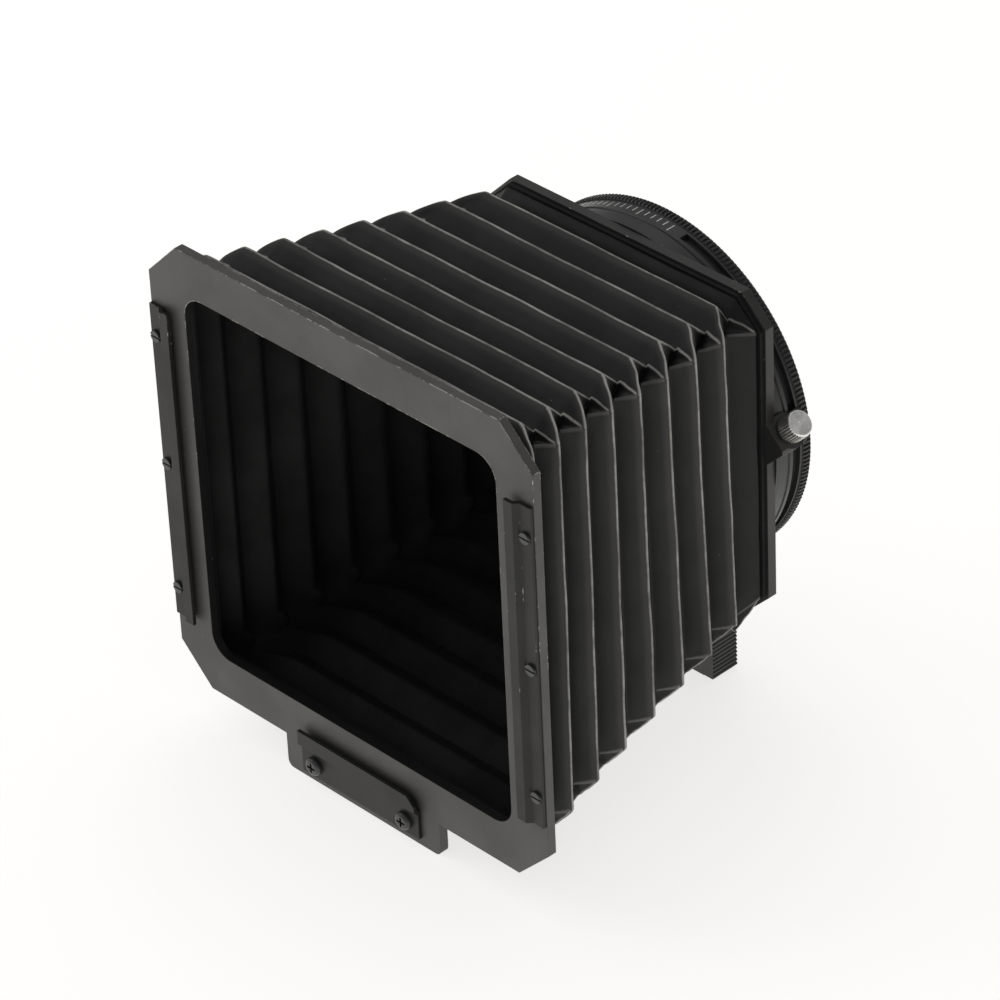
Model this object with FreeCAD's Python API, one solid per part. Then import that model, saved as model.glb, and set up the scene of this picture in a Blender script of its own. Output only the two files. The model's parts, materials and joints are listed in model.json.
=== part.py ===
import FreeCAD, Part
import math
import os

# Bellows lens shade for a medium-format lens, drawn out to its full length.
# Millimetres. +Z is up and the front faces -Y. The origin is on the optical axis, at the mount
# ring's rear face, where the lens rim goes in.

V = FreeCAD.Vector
os.makedirs("parts", exist_ok=True)

# Lengths along the optical axis
SHADE_LENGTH = 89.1          # front plate's front face to the mount ring's rear face
FRONT_THICK = 2.0
REAR_THICK = 2.2
COLLAR_LENGTH = 3.5
RING_GAP = 0.1               # running gap between the collar and the turning ring
RING_LENGTH = 5.9            # of the ring's band and knurled rim
FRAME_THICK = 1.0            # both bellows frames

FRONT_FACE = -SHADE_LENGTH
FRONT_BACK = FRONT_FACE + FRONT_THICK
RING_FRONT = -RING_LENGTH
COLLAR_BACK = RING_FRONT - RING_GAP
REAR_BACK = COLLAR_BACK - COLLAR_LENGTH
REAR_FACE = REAR_BACK - REAR_THICK

# Front plate
FRONT_HALF = 52.5
FRONT_CUT = 8.4              # 45 degree corner cut
WINDOW_HALF = 42.7
WINDOW_RADIUS = 5.0
FOOT_Z = -60.5               # both feet stand on this plane
FOOT_HALF = 22.0
FOOT_RADIUS = 1.6

# Mask rails, bent from one gauge of sheet
SHEET = 0.8
MASK_GAP = 1.0               # room behind a lip for a mask card
SIDE_RAIL_OUTER = 52.3
SIDE_RAIL_STEP = 49.1        # where the lip lifts off the plate
SIDE_RAIL_INNER = 46.2
SIDE_RAIL_HALF = 37.0
SIDE_SCREW_X = 50.85
SIDE_SCREW_PITCH = 30.0
BOTTOM_RAIL_HALF = 16.7
BOTTOM_RAIL_LOW = -58.6
BOTTOM_RAIL_STEP = -52.2
BOTTOM_RAIL_TOP = -48.3
BOTTOM_SCREW_X = 12.9
BOTTOM_SCREW_Z = -55.6
BOTTOM_RAIL_CUT = 2.0        # cut on the lip's corner
SIDE_SCREW_HOLE = 0.8        # radius
BOTTOM_SCREW_HOLE = 1.0

# Flush screws: radius of the head and of the shank
FRAME_SCREW = (1.2, 0.6)
COLLAR_SCREW = (1.15, 0.6)
RING_SCREW = (1.1, 0.6)
BLOCK_SCREW = (1.7, 0.9)
SCREW_PLAY = 0.03
PILOT_HOLE = 0.63            # radius of a hole that takes a 0.6 shank

# Rear plate
REAR_HALF = 37.85
REAR_CUT = 6.1
REAR_OPENING = 34.5          # radius
REAR_FOOT_HALF = 18.9

# Bellows
FOLDS = 8
FIRST_RIDGE = 5.7            # first outer fold, behind the front face
FOLD_PITCH = 8.2
FOLD_GROWTH = 0.1            # the pitch grows by twice this from fold to fold
RIDGE_HALF = 48.5            # first outer fold's half-width
RIDGE_TAPER = 1.45           # lost at each fold
FOLD_DEPTH = 4.2
CLOTH = 0.8
RIDGE_CUT = 5.2
VALLEY_CUT = 2.0
REAR_FRAME_HALF = 37.3
REAR_FRAME_CUT = 6.0
FRONT_FRAME_HALF = 47.4
FRONT_FRAME_INNER = 43.2
FRONT_FRAME_CUT = 5.0

# Collar and mount ring
COLLAR_RADIUS = 38.3
RING_RADIUS = 38.5
RIM_RADIUS = 39.0
RIM_LENGTH = 2.2
FLUTES = 240
FLUTE_DEPTH = 0.45
JOURNAL_RADIUS = 34.52
JOURNAL_PLAY = 0.08
JOURNAL_LENGTH = 2.8
RING_BORE = 31.5
RETAINER_THICK = 0.65
RETAINER_RADIUS = 35.7
RETAINER_ROOM = 36.0
SLOT_FRONT = -4.9
SLOT_BACK = -2.85
SLOT_DEPTH = 1.2
SLOT_START = -61.0           # degrees from +X towards +Z
SLOT_END = 77.0
LENS_BORE = 30.1
LENS_BORE_LENGTH = 4.0
LUG_RADIUS = 28.9
LUG_THICK = 1.0
LUG_ANGLE = 36.0
LUG_ROOM = 30.9              # radius of the wider groove that the lens rim's own lugs turn in
BAYONET_RADIUS = 33.0
BAYONET_FLANGE = 35.5
BAYONET_FLANGE_THICK = 1.2

# Clamp ear on the rear plate, and its screw at 45 degrees
EAR_TOP = 9.65
EAR_REACH = 42.0
EAR_FLAT = 0.9               # short upright face at the ear's outer edge
EAR_LOW = 0.5
EAR_BACK = -2.5
EAR_BACK_CUT = 2.2
BOSS_RADIUS = 3.8
CLAMP_Y = -7.7
CLAMP_THREAD = 1.5           # radius of an M3 stud
CLAMP_PLAY = 0.05
KNOB_RADIUS = 2.92
KNOB_LENGTH = 4.3
KNOB_GAP = 0.35              # left under the knob for tightening
KNOB_TEETH = 30
PAD_CLEARANCE = 0.2
PAD_POINT_RADIUS = 0.85
PAD_POINT_LENGTH = 2.7
PAD_LENGTH = 3.5
STOP_ANGLE = 8.0
STOP_RADIUS = 0.75

# Guide block, slide rail and buttons
BLOCK_BACK = -4.7
BLOCK_TOP = -46.8
RAIL_HALF = 13.0
RAIL_TOP = -55.5
RAIL_THICK = 2.0
RAIL_PLAY = 0.15
RAIL_BACK = -2.6
BUTTON_OUTER = 22.2
BUTTON_INNER = 19.8
BUTTON_TOP = -50.0
BUTTON_LOW = -59.9
BUTTON_LIP = 15.5            # the button's thin front lip hides the gap beside the block
LIP_THICK = 0.4
RIBS = 10
RIB_DEPTH = 0.35
ARM_LOW = -54.7
ARM_TOP = -52.9
ARM_THICK = 1.4
ARM_RIGHT_Y = -8.2
ARM_LEFT_Y = -6.0
HOOK_THICK = 2.0
HOOK_PLAY = 0.08
BUTTON_TRAVEL = 0.8
SPRING_Z = -51.3
SPRING_RADIUS = 0.8
SPRING_WIRE = 0.13
SPRING_TURNS = 6
SPRING_POCKET = 14.9


def box(x0, x1, y0, y1, z0, z1):
    """Box between two corners."""
    return Part.makeBox(x1 - x0, y1 - y0, z1 - z0, V(x0, y0, z0))


def disc(radius, y0, y1):
    """Round bar about the optical axis."""
    return Part.makeCylinder(radius, y1 - y0, V(0, y0, 0), V(0, 1, 0))


def tube(outer, inner, y0, y1):
    """Ring about the optical axis."""
    return disc(outer, y0, y1).cut(disc(inner, y0 - 1, y1 + 1))


def cone(r0, r1, y0, y1):
    """Cone about the optical axis, r0 at y0 and r1 at y1."""
    return Part.makeCone(r0, r1, y1 - y0, V(0, y0, 0), V(0, 1, 0))


def prism(points, step):
    """Closed outline swept along one straight step."""
    wire = Part.makePolygon(points + [points[0]])
    return Part.Face(wire).extrude(step)


def cut_square(half, cut, y):
    """Corners of a square with its four corners cut off."""
    inner = half - cut
    pairs = [(inner, half), (half, inner), (half, -inner), (inner, -half),
             (-inner, -half), (-half, -inner), (-half, inner), (-inner, half)]
    return [V(x, y, z) for x, z in pairs]


def cut_plate(half, cut, y0, y1):
    """Square plate with cut corners."""
    return prism(cut_square(half, cut, y0), V(0, y1 - y0, 0))


def mirrored(shape):
    """Mirror image across the plane x = 0."""
    return shape.mirror(V(0, 0, 0), V(1, 0, 0))


def joined(shapes):
    """Solids fused into one, with shared faces merged."""
    result = shapes[0]
    for shape in shapes[1:]:
        result = result.fuse(shape)
    return result.removeSplitter()


def write(name, shape):
    """One node's STEP file."""
    shape.exportStep("parts/" + name + ".step")


def ring_point(radius, degrees, y):
    """Point at an angle from +X towards +Z."""
    angle = math.radians(degrees)
    return V(radius * math.cos(angle), y, radius * math.sin(angle))


def spokes(count, first):
    """Evenly spaced angles in degrees."""
    return [first + 360.0 * k / count for k in range(count)]


# Screws. Proud ones stand on a seat on the front, and flush ones sink into the face they go through.

def slotted_screw(x, z, seat, shank):
    """Low cheese-head screw on the front, its head standing on `seat`."""
    head_radius = 1.3
    head_height = 0.6
    shank_radius = 0.78
    slot_half = 0.2
    slot_depth = 0.32
    face = seat - head_height
    head = Part.makeCylinder(head_radius, head_height, V(x, face, z), V(0, 1, 0))
    rounding = 0.15
    head = head.makeFillet(rounding, [edge for edge in head.Edges if abs(edge.BoundBox.YMax - face) < 0.01])
    body = head.fuse(Part.makeCylinder(shank_radius, shank, V(x, seat, z), V(0, 1, 0)))
    return body.cut(box(x - 2, x + 2, face - 1, face + slot_depth, z - slot_half, z + slot_half))


def pan_screw(x, z, seat, shank):
    """Cross-recess pan-head screw on the front, its head standing on `seat`."""
    head_radius = 2.0
    head_height = 1.3
    shank_radius = 0.98
    wing = 1.1
    wing_half = 0.27
    depth = 0.75
    face = seat - head_height
    head = Part.makeCylinder(head_radius, head_height, V(x, face, z), V(0, 1, 0))
    rounding = 0.85
    head = head.makeFillet(rounding, [edge for edge in head.Edges if abs(edge.BoundBox.YMax - face) < 0.01])
    body = head.fuse(Part.makeCylinder(shank_radius, shank, V(x, seat, z), V(0, 1, 0)))
    upright = box(x - wing_half, x + wing_half, face - 1, face + depth, z - wing, z + wing)
    level = box(x - wing, x + wing, face - 1, face + depth, z - wing_half, z + wing_half)
    return body.cut(upright.fuse(level))


def flush_screw(centre, way, radii, length):
    """Countersunk slotted screw. `way` is +1 or -1: the way the shank goes along Y."""
    head_radius, shank_radius = radii
    head_height = head_radius - shank_radius
    direction = V(0, way, 0)
    head = Part.makeCone(head_radius, shank_radius, head_height, centre, direction)
    shank = Part.makeCylinder(shank_radius, length, centre, direction)
    slot_half = 0.12 * head_radius + 0.05
    slot_depth = 0.35 * head_height
    low = min(centre.y - way, centre.y + way * slot_depth)
    high = max(centre.y - way, centre.y + way * slot_depth)
    slot = box(centre.x - 3, centre.x + 3, low, high, centre.z - slot_half, centre.z + slot_half)
    return head.fuse(shank).cut(slot)


def flush_hole(centre, way, radii, length):
    """Hole for a flush screw, with a little play."""
    head_radius, shank_radius = radii
    direction = V(0, way, 0)
    start = centre - direction
    head_height = head_radius - shank_radius
    head = Part.makeCone(head_radius + SCREW_PLAY, shank_radius + SCREW_PLAY, head_height, centre, direction)
    mouth = Part.makeCylinder(head_radius + SCREW_PLAY, 1.0, start, direction)
    shank = Part.makeCylinder(shank_radius + SCREW_PLAY, length + 0.2, centre, direction)
    return joined([head, mouth, shank])


# Front standard

def side_screw_heights():
    """Heights of the three screws of a side rail."""
    return [SIDE_SCREW_PITCH, 0.0, -SIDE_SCREW_PITCH]


def front_hole(radius, x, z):
    """Screw hole through everything at the front."""
    return Part.makeCylinder(radius, 9, V(x, FRONT_FACE - 4, z), V(0, 1, 0))


def front_plate():
    """Front plate with its window and foot tab."""
    plate = cut_plate(FRONT_HALF, FRONT_CUT, FRONT_FACE, FRONT_BACK)
    tab = box(-FOOT_HALF, FOOT_HALF, FRONT_FACE, FRONT_BACK, FOOT_Z, -FRONT_HALF + 1)
    tab = tab.makeFillet(FOOT_RADIUS, [edge for edge in tab.Edges if edge.BoundBox.ZMax < FOOT_Z + 0.01
                                       and edge.BoundBox.XLength < 0.01])
    window = box(-WINDOW_HALF, WINDOW_HALF, FRONT_FACE - 1, FRONT_BACK + 1, -WINDOW_HALF, WINDOW_HALF)
    window = window.makeFillet(WINDOW_RADIUS, [edge for edge in window.Edges if edge.BoundBox.YLength > 1])
    plate = joined([plate, tab]).cut(window)
    for x in (-SIDE_SCREW_X, SIDE_SCREW_X):
        for z in side_screw_heights():
            plate = plate.cut(front_hole(SIDE_SCREW_HOLE, x, z))
    for x in (-BOTTOM_SCREW_X, BOTTOM_SCREW_X):
        plate = plate.cut(front_hole(BOTTOM_SCREW_HOLE, x, BOTTOM_SCREW_Z))
    return plate


def joggled(low, step, top, along0, along1, upright):
    """Strip of sheet on the front face: flat from `low` to `step`, then standing off as a lip up to `top`.

    `upright` is True for a side rail, whose profile runs along X, and False for the bottom rail, whose
    profile runs along Z.
    """
    way = 1 if top > low else -1
    bend = MASK_GAP * way
    outer_shift = SHEET / 2.0 * way      # the bend's outer line lies nearer the flat end
    flat_face = FRONT_FACE - SHEET
    lip_back = FRONT_FACE - MASK_GAP
    lip_face = lip_back - SHEET
    profile = [(low, FRONT_FACE), (step, FRONT_FACE), (step + bend, lip_back), (top, lip_back),
               (top, lip_face), (step + bend - outer_shift, lip_face), (step - outer_shift, flat_face),
               (low, flat_face)]
    if upright:
        return prism([V(a, y, along0) for a, y in profile], V(0, 0, along1 - along0))
    return prism([V(along0, y, a) for a, y in profile], V(along1 - along0, 0, 0))


def side_rail():
    """Right mask rail."""
    rail = joggled(SIDE_RAIL_OUTER, SIDE_RAIL_STEP, SIDE_RAIL_INNER, -SIDE_RAIL_HALF, SIDE_RAIL_HALF, True)
    for z in side_screw_heights():
        rail = rail.cut(front_hole(SIDE_SCREW_HOLE, SIDE_SCREW_X, z))
    return rail


def bottom_rail():
    """Bottom mask rail with a small cut on the lip's right corner."""
    half = BOTTOM_RAIL_HALF
    rail = joggled(BOTTOM_RAIL_LOW, BOTTOM_RAIL_STEP, BOTTOM_RAIL_TOP, -half, half, False)
    corner = V(half, FRONT_FACE - 4, BOTTOM_RAIL_TOP)
    reach = BOTTOM_RAIL_CUT + 1
    corner_cut = [corner + V(1, 0, 1), corner + V(-reach, 0, 1), corner + V(1, 0, -reach)]
    rail = rail.cut(prism(corner_cut, V(0, 5, 0)))
    for x in (-BOTTOM_SCREW_X, BOTTOM_SCREW_X):
        rail = rail.cut(front_hole(BOTTOM_SCREW_HOLE, x, BOTTOM_SCREW_Z))
    return rail


def side_screws():
    """Three slotted screws of the right mask rail."""
    seat = FRONT_FACE - SHEET
    shank = SHEET + FRONT_THICK
    return Part.makeCompound([slotted_screw(SIDE_SCREW_X, z, seat, shank) for z in side_screw_heights()])


def bottom_screws():
    """Two cross-recess screws that hold the bottom mask rail, the foot tab and the slide rail together."""
    seat = FRONT_FACE - SHEET
    shank = SHEET + FRONT_THICK + 1.6
    sides = (-BOTTOM_SCREW_X, BOTTOM_SCREW_X)
    return Part.makeCompound([pan_screw(x, BOTTOM_SCREW_Z, seat, shank) for x in sides])


def front_frame():
    """Thin frame that holds the bellows behind the front plate."""
    frame = cut_plate(FRONT_FRAME_HALF, FRONT_FRAME_CUT, FRONT_BACK, FRONT_BACK + FRAME_THICK)
    return frame.cut(cut_plate(FRONT_FRAME_INNER, VALLEY_CUT, FRONT_BACK - 1, FRONT_BACK + FRAME_THICK + 1))


def slide_rail():
    """Flat rail with an upright foot behind the front tab."""
    foot_half = 17.0
    foot_top = -51.5
    foot_thick = 2.0
    edge_slit = 0.6
    rail = box(-RAIL_HALF, RAIL_HALF, FRONT_BACK, RAIL_BACK, RAIL_TOP - RAIL_THICK, RAIL_TOP)
    foot = box(-foot_half, foot_half, FRONT_BACK, FRONT_BACK + foot_thick, FOOT_Z + edge_slit, foot_top)
    rail = joined([rail, foot])
    for x in (-BOTTOM_SCREW_X, BOTTOM_SCREW_X):
        seat = V(x, FRONT_BACK, BOTTOM_SCREW_Z)
        rail = rail.cut(Part.makeCylinder(BOTTOM_SCREW_HOLE, 1.8, seat, V(0, 1, 0)))
    top = V(0, STOP_SCREW_Y, RAIL_TOP + 0.1)
    return rail.cut(Part.makeCylinder(STOP_SCREW_HOLE, 1.6, top, V(0, 0, -1)))


STOP_BAR_HALF = 6.0
STOP_BAR_HEIGHT = 1.6
STOP_BAR_FRONT = BLOCK_BACK + 0.15
STOP_SCREW_Y = (STOP_BAR_FRONT + RAIL_BACK) / 2.0
STOP_SCREW_HOLE = 0.75


def rail_stop():
    """Small bar on the rail's rear end, which keeps it from being drawn out of the block."""
    bar = box(-STOP_BAR_HALF, STOP_BAR_HALF, STOP_BAR_FRONT, RAIL_BACK, RAIL_TOP, RAIL_TOP + STOP_BAR_HEIGHT)
    return bar.cut(Part.makeCylinder(STOP_SCREW_HOLE, 9, V(0, STOP_SCREW_Y, RAIL_TOP - 4), V(0, 0, 1)))


def stop_screw():
    """Small slotted screw of the rail stop, driven from above."""
    head_radius = 0.95
    head_height = 0.5
    shank_radius = 0.7
    seat = V(0, STOP_SCREW_Y, RAIL_TOP + STOP_BAR_HEIGHT)
    head = Part.makeCylinder(head_radius, head_height, seat)
    shank = Part.makeCylinder(shank_radius, STOP_BAR_HEIGHT + 1.4, seat, V(0, 0, -1))
    slot = box(-1.5, 1.5, seat.y - 0.15, seat.y + 0.15, seat.z + 0.2, seat.z + 1)
    return head.fuse(shank).cut(slot)


# Bellows

def ridge_y(fold):
    """Position of one outer fold."""
    return FRONT_FACE + FIRST_RIDGE + FOLD_PITCH * fold + FOLD_GROWTH * fold * fold


def ridge_half(fold):
    """Half-width of one outer fold."""
    return RIDGE_HALF - RIDGE_TAPER * fold


def bellows_sections():
    """Half-width, corner cut and position of every fold line, front to rear."""
    start = FRONT_BACK + FRAME_THICK
    end = REAR_FACE - FRAME_THICK
    sections = [(RIDGE_HALF - FOLD_DEPTH, VALLEY_CUT, start)]
    for fold in range(FOLDS):
        sections.append((ridge_half(fold), RIDGE_CUT, ridge_y(fold)))
        last = fold == FOLDS - 1
        after = end if last else ridge_y(fold + 1)
        half = ridge_half(fold) - RIDGE_TAPER / 2.0 - FOLD_DEPTH
        sections.append((half, VALLEY_CUT, (ridge_y(fold) + after) / 2.0))
    sections.append((REAR_FRAME_HALF - 0.3, REAR_FRAME_CUT, end))
    return sections


def bellows():
    """Closed pleated shell of cloth."""
    outer = [cut_square(half, cut, y) for half, cut, y in bellows_sections()]
    inner = [cut_square(half - CLOTH, cut, y) for half, cut, y in bellows_sections()]
    faces = []
    for lines in (outer, inner):
        for front, rear in zip(lines, lines[1:]):
            for k in range(len(front)):
                after = (k + 1) % len(front)
                corners = [front[k], front[after], rear[after], rear[k]]
                faces.append(Part.Face(Part.makePolygon(corners + [corners[0]])))
    for end in (0, -1):
        rim = Part.makePolygon(outer[end] + [outer[end][0]])
        hole = Part.makePolygon(inner[end] + [inner[end][0]])
        faces.append(Part.Face(rim).cut(Part.Face(hole)).Faces[0])
    shell = Part.makeShell(faces)
    shell.sewShape()
    solid = Part.Solid(shell)
    if solid.Volume < 0:
        solid.reverse()
    return solid


# Rear standard

CLAMP_WAY = V(1, 0, 1).normalize()
EAR_MIDDLE = (EAR_TOP + REAR_HALF - EAR_REACH + EAR_TOP) / 2.0
CLAMP_FOOT = V((REAR_HALF + EAR_REACH) / 2.0, CLAMP_Y, EAR_MIDDLE)


def along_clamp(distance):
    """Point on the clamp screw's axis, counted outwards from the ear's sloping face."""
    return CLAMP_FOOT + CLAMP_WAY * distance


def clamp_bar(radius, low, high):
    """Round bar on the clamp screw's axis."""
    return Part.makeCylinder(radius, high - low, along_clamp(low), CLAMP_WAY)


def journal_depth(radius):
    """Distance along the clamp screw's axis to a cylinder about the optical axis, counted outwards."""
    offset = (CLAMP_FOOT.x - CLAMP_FOOT.z) / math.sqrt(2.0)
    foot = (CLAMP_FOOT.x + CLAMP_FOOT.z) / math.sqrt(2.0)
    return math.sqrt(radius * radius - offset * offset) - foot


def clamp_ear():
    """Ear on the rear plate's right edge. It reaches back over the collar and the ring's slot."""
    slope_low = EAR_TOP - (EAR_REACH - REAR_HALF)
    root = REAR_HALF - 1.0
    outline = [(root, EAR_TOP), (REAR_HALF, EAR_TOP), (EAR_REACH, slope_low),
               (EAR_REACH, slope_low - EAR_FLAT), (REAR_HALF, EAR_LOW), (root, EAR_LOW)]
    ear = prism([V(x, REAR_FACE, z) for x, z in outline], V(0, EAR_BACK - REAR_FACE, 0))
    ear = ear.fuse(clamp_bar(BOSS_RADIUS, -7.0, 0.0))
    bevel = [V(EAR_REACH + 1, EAR_BACK + 1, -5), V(EAR_REACH - EAR_BACK_CUT - 1, EAR_BACK + 1, -5),
             V(EAR_REACH + 1, EAR_BACK - EAR_BACK_CUT - 1, -5)]
    ear = ear.cut(prism(bevel, V(0, 0, 25)))
    over_collar = disc(COLLAR_RADIUS + 0.05, REAR_BACK, COLLAR_BACK)
    over_ring = disc(RING_RADIUS + 0.35, COLLAR_BACK, 1.0)
    over_rim = disc(RIM_RADIUS + 0.35, -RIM_LENGTH - 0.4, 1.0)
    return ear.cut(over_collar.fuse(over_ring).fuse(over_rim))


def screw_spots(radius, count, first, y):
    """Screw positions on a circle about the optical axis."""
    return [ring_point(radius, angle, y) for angle in spokes(count, first)]


REAR_SCREW_RADIUS = 41.7
COLLAR_SCREW_RADIUS = 37.15
BLOCK_SCREW_X = 12.0
BLOCK_SCREW_Z = -48.9


def block_screw_spots():
    """Heads of the two guide block screws, in the rear foot's front face."""
    return [V(x, REAR_FACE, BLOCK_SCREW_Z) for x in (-BLOCK_SCREW_X, BLOCK_SCREW_X)]


def rail_channel():
    """Room for the slide rail."""
    return box(-RAIL_HALF - RAIL_PLAY, RAIL_HALF + RAIL_PLAY, REAR_FACE - 1, BLOCK_BACK + 1,
               RAIL_TOP - RAIL_THICK - RAIL_PLAY, RAIL_TOP + RAIL_PLAY)


def rear_plate():
    """Rear plate with its foot tab and the clamp ear."""
    plate = cut_plate(REAR_HALF, REAR_CUT, REAR_FACE, REAR_BACK)
    tab = box(-REAR_FOOT_HALF, REAR_FOOT_HALF, REAR_FACE, REAR_BACK, FOOT_Z, -REAR_HALF + 1)
    plate = plate.fuse(tab).fuse(clamp_ear()).removeSplitter()
    plate = plate.cut(disc(REAR_OPENING, REAR_FACE - 1, REAR_BACK + 1))
    plate = plate.cut(rail_channel())
    recess_low = BUTTON_LOW - 1.0
    recess_top = BUTTON_TOP + 0.2
    for side in (-1, 1):
        near = BUTTON_LIP - BUTTON_TRAVEL - 0.2
        x0 = min(side * near, side * (REAR_FOOT_HALF + 1))
        x1 = max(side * near, side * (REAR_FOOT_HALF + 1))
        plate = plate.cut(box(x0, x1, REAR_FACE - 1, REAR_FACE + LIP_THICK + 0.06, recess_low, recess_top))
    for spot in screw_spots(REAR_SCREW_RADIUS, 4, 45.0, REAR_FACE):
        plate = plate.cut(Part.makeCylinder(PILOT_HOLE, REAR_THICK + 0.1, spot, V(0, 1, 0)))
    for spot in screw_spots(COLLAR_SCREW_RADIUS, 4, 45.0, REAR_FACE):
        plate = plate.cut(flush_hole(spot, 1, COLLAR_SCREW, REAR_THICK + 0.5))
    for spot in block_screw_spots():
        plate = plate.cut(flush_hole(spot, 1, BLOCK_SCREW, REAR_THICK + 0.5))
    plate = plate.cut(clamp_bar(CLAMP_THREAD + CLAMP_PLAY, -9.0, 3.0))
    pin_hole = Part.makeCylinder(STOP_RADIUS + 0.02, 8, ring_point(36.0, STOP_ANGLE, STOP_PIN_Y),
                                 ring_point(1.0, STOP_ANGLE, 0))
    return plate.cut(pin_hole)


STOP_PIN_Y = (SLOT_FRONT + SLOT_BACK) / 2.0


def rear_frame():
    """Thin frame that holds the bellows in front of the rear plate."""
    frame = cut_plate(REAR_FRAME_HALF, REAR_FRAME_CUT, REAR_FACE - FRAME_THICK, REAR_FACE)
    frame = frame.cut(disc(REAR_OPENING, REAR_FACE - 3, REAR_FACE + 1))
    for spot in screw_spots(REAR_SCREW_RADIUS, 4, 45.0, REAR_FACE - FRAME_THICK):
        frame = frame.cut(flush_hole(spot, 1, FRAME_SCREW, 2.0))
    return frame


def rear_frame_screws():
    """Four flush screws through the rear bellows frame."""
    spots = screw_spots(REAR_SCREW_RADIUS, 4, 45.0, REAR_FACE - FRAME_THICK)
    length = FRAME_THICK + REAR_THICK - 0.2
    return Part.makeCompound([flush_screw(spot, 1, FRAME_SCREW, length) for spot in spots])


def collar():
    """Neck collar with a lip that the ring's journal turns in."""
    lip_front = REAR_BACK + RETAINER_THICK + 0.25
    body = tube(COLLAR_RADIUS, JOURNAL_RADIUS + JOURNAL_PLAY, REAR_BACK, COLLAR_BACK)
    body = body.cut(disc(RETAINER_ROOM, REAR_BACK - 1, lip_front))
    for spot in screw_spots(COLLAR_SCREW_RADIUS, 4, 45.0, REAR_BACK):
        body = body.cut(Part.makeCylinder(PILOT_HOLE, 2.9, spot, V(0, 1, 0)))
    body = body.cut(clamp_bar(PAD_POINT_RADIUS + 0.1, -12.0, 3.0))
    return body.cut(clamp_bar(CLAMP_THREAD + 0.1, PAD_TIP + PAD_POINT_LENGTH - PAD_CLEARANCE - 0.1, 3.0))


def collar_screws():
    """Four flush screws that hold the collar to the rear plate."""
    spots = screw_spots(COLLAR_SCREW_RADIUS, 4, 45.0, REAR_FACE)
    return Part.makeCompound([flush_screw(spot, 1, COLLAR_SCREW, REAR_THICK + 2.7) for spot in spots])


def stop_pin():
    """Pin in the ear that reaches into the ring's slot."""
    inner = RING_RADIUS - SLOT_DEPTH + 0.3
    outer = 40.9
    return Part.makeCylinder(STOP_RADIUS, outer - inner, ring_point(inner, STOP_ANGLE, STOP_PIN_Y),
                             ring_point(1.0, STOP_ANGLE, 0))


# Mount ring

def knurled_rim():
    """Ring of milled flutes at the rear."""
    step = 360.0 / FLUTES
    corners = []
    for tooth in range(FLUTES):
        first = tooth * step
        corners.append(ring_point(RIM_RADIUS, first, -RIM_LENGTH))
        corners.append(ring_point(RIM_RADIUS, first + 0.3 * step, -RIM_LENGTH))
        corners.append(ring_point(RIM_RADIUS - FLUTE_DEPTH, first + 0.5 * step, -RIM_LENGTH))
        corners.append(ring_point(RIM_RADIUS - FLUTE_DEPTH, first + 0.8 * step, -RIM_LENGTH))
    rim = prism(corners, V(0, RIM_LENGTH, 0))
    chamfer = 0.35
    front = cone(RIM_RADIUS - chamfer, RIM_RADIUS + 0.1, -RIM_LENGTH, -RIM_LENGTH + chamfer + 0.1)
    middle = disc(RIM_RADIUS + 0.1, -RIM_LENGTH + chamfer + 0.1, -chamfer - 0.1)
    rear = cone(RIM_RADIUS + 0.1, RIM_RADIUS - chamfer, -chamfer - 0.1, 0)
    return rim.common(front.fuse(middle).fuse(rear))


def ring_slot():
    """Long recessed slot, as the sector of a shallow ring."""
    groove = tube(RING_RADIUS + 1, RING_RADIUS - SLOT_DEPTH, SLOT_FRONT, SLOT_BACK)
    reach = 60.0
    count = 8
    corners = [V(0, SLOT_FRONT - 1, 0)]
    for k in range(count + 1):
        angle = SLOT_START + (SLOT_END - SLOT_START) * k / count
        corners.append(ring_point(reach, angle, SLOT_FRONT - 1))
    return groove.common(prism(corners, V(0, 5, 0)))


def mount_ring():
    """Turning ring: band, slot, knurled rim and the journal that runs in the collar."""
    rounding = 0.2
    band = disc(RING_RADIUS, RING_FRONT + rounding, -RIM_LENGTH)
    band = band.fuse(cone(RING_RADIUS - rounding, RING_RADIUS, RING_FRONT, RING_FRONT + rounding))
    journal = disc(JOURNAL_RADIUS, RING_FRONT - JOURNAL_LENGTH, RING_FRONT)
    ring = joined([band, journal, knurled_rim()])
    ring = ring.cut(disc(RING_BORE, -20, 1))
    ring = ring.cut(disc(BAYONET_RADIUS + 0.03, -BAYONET_DEPTH, 1))
    ring = ring.cut(disc(BAYONET_FLANGE + 0.05, -BAYONET_FLANGE_THICK, 1))
    ring = ring.cut(ring_slot())
    for spot in screw_spots(BAYONET_SCREW_RADIUS, 3, 90.0, -BAYONET_FLANGE_THICK):
        ring = ring.cut(Part.makeCylinder(PILOT_HOLE, 2.2, spot, V(0, -1, 0)))
    for spot in screw_spots(RETAINER_SCREW_RADIUS, 3, 30.0, RING_FRONT - JOURNAL_LENGTH):
        ring = ring.cut(Part.makeCylinder(PILOT_HOLE, 2.6, spot, V(0, 1, 0)))
    return ring


BAYONET_DEPTH = LENS_BORE_LENGTH + LUG_THICK
BAYONET_SCREW_RADIUS = 34.2
RETAINER_SCREW_RADIUS = 33.2


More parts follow.
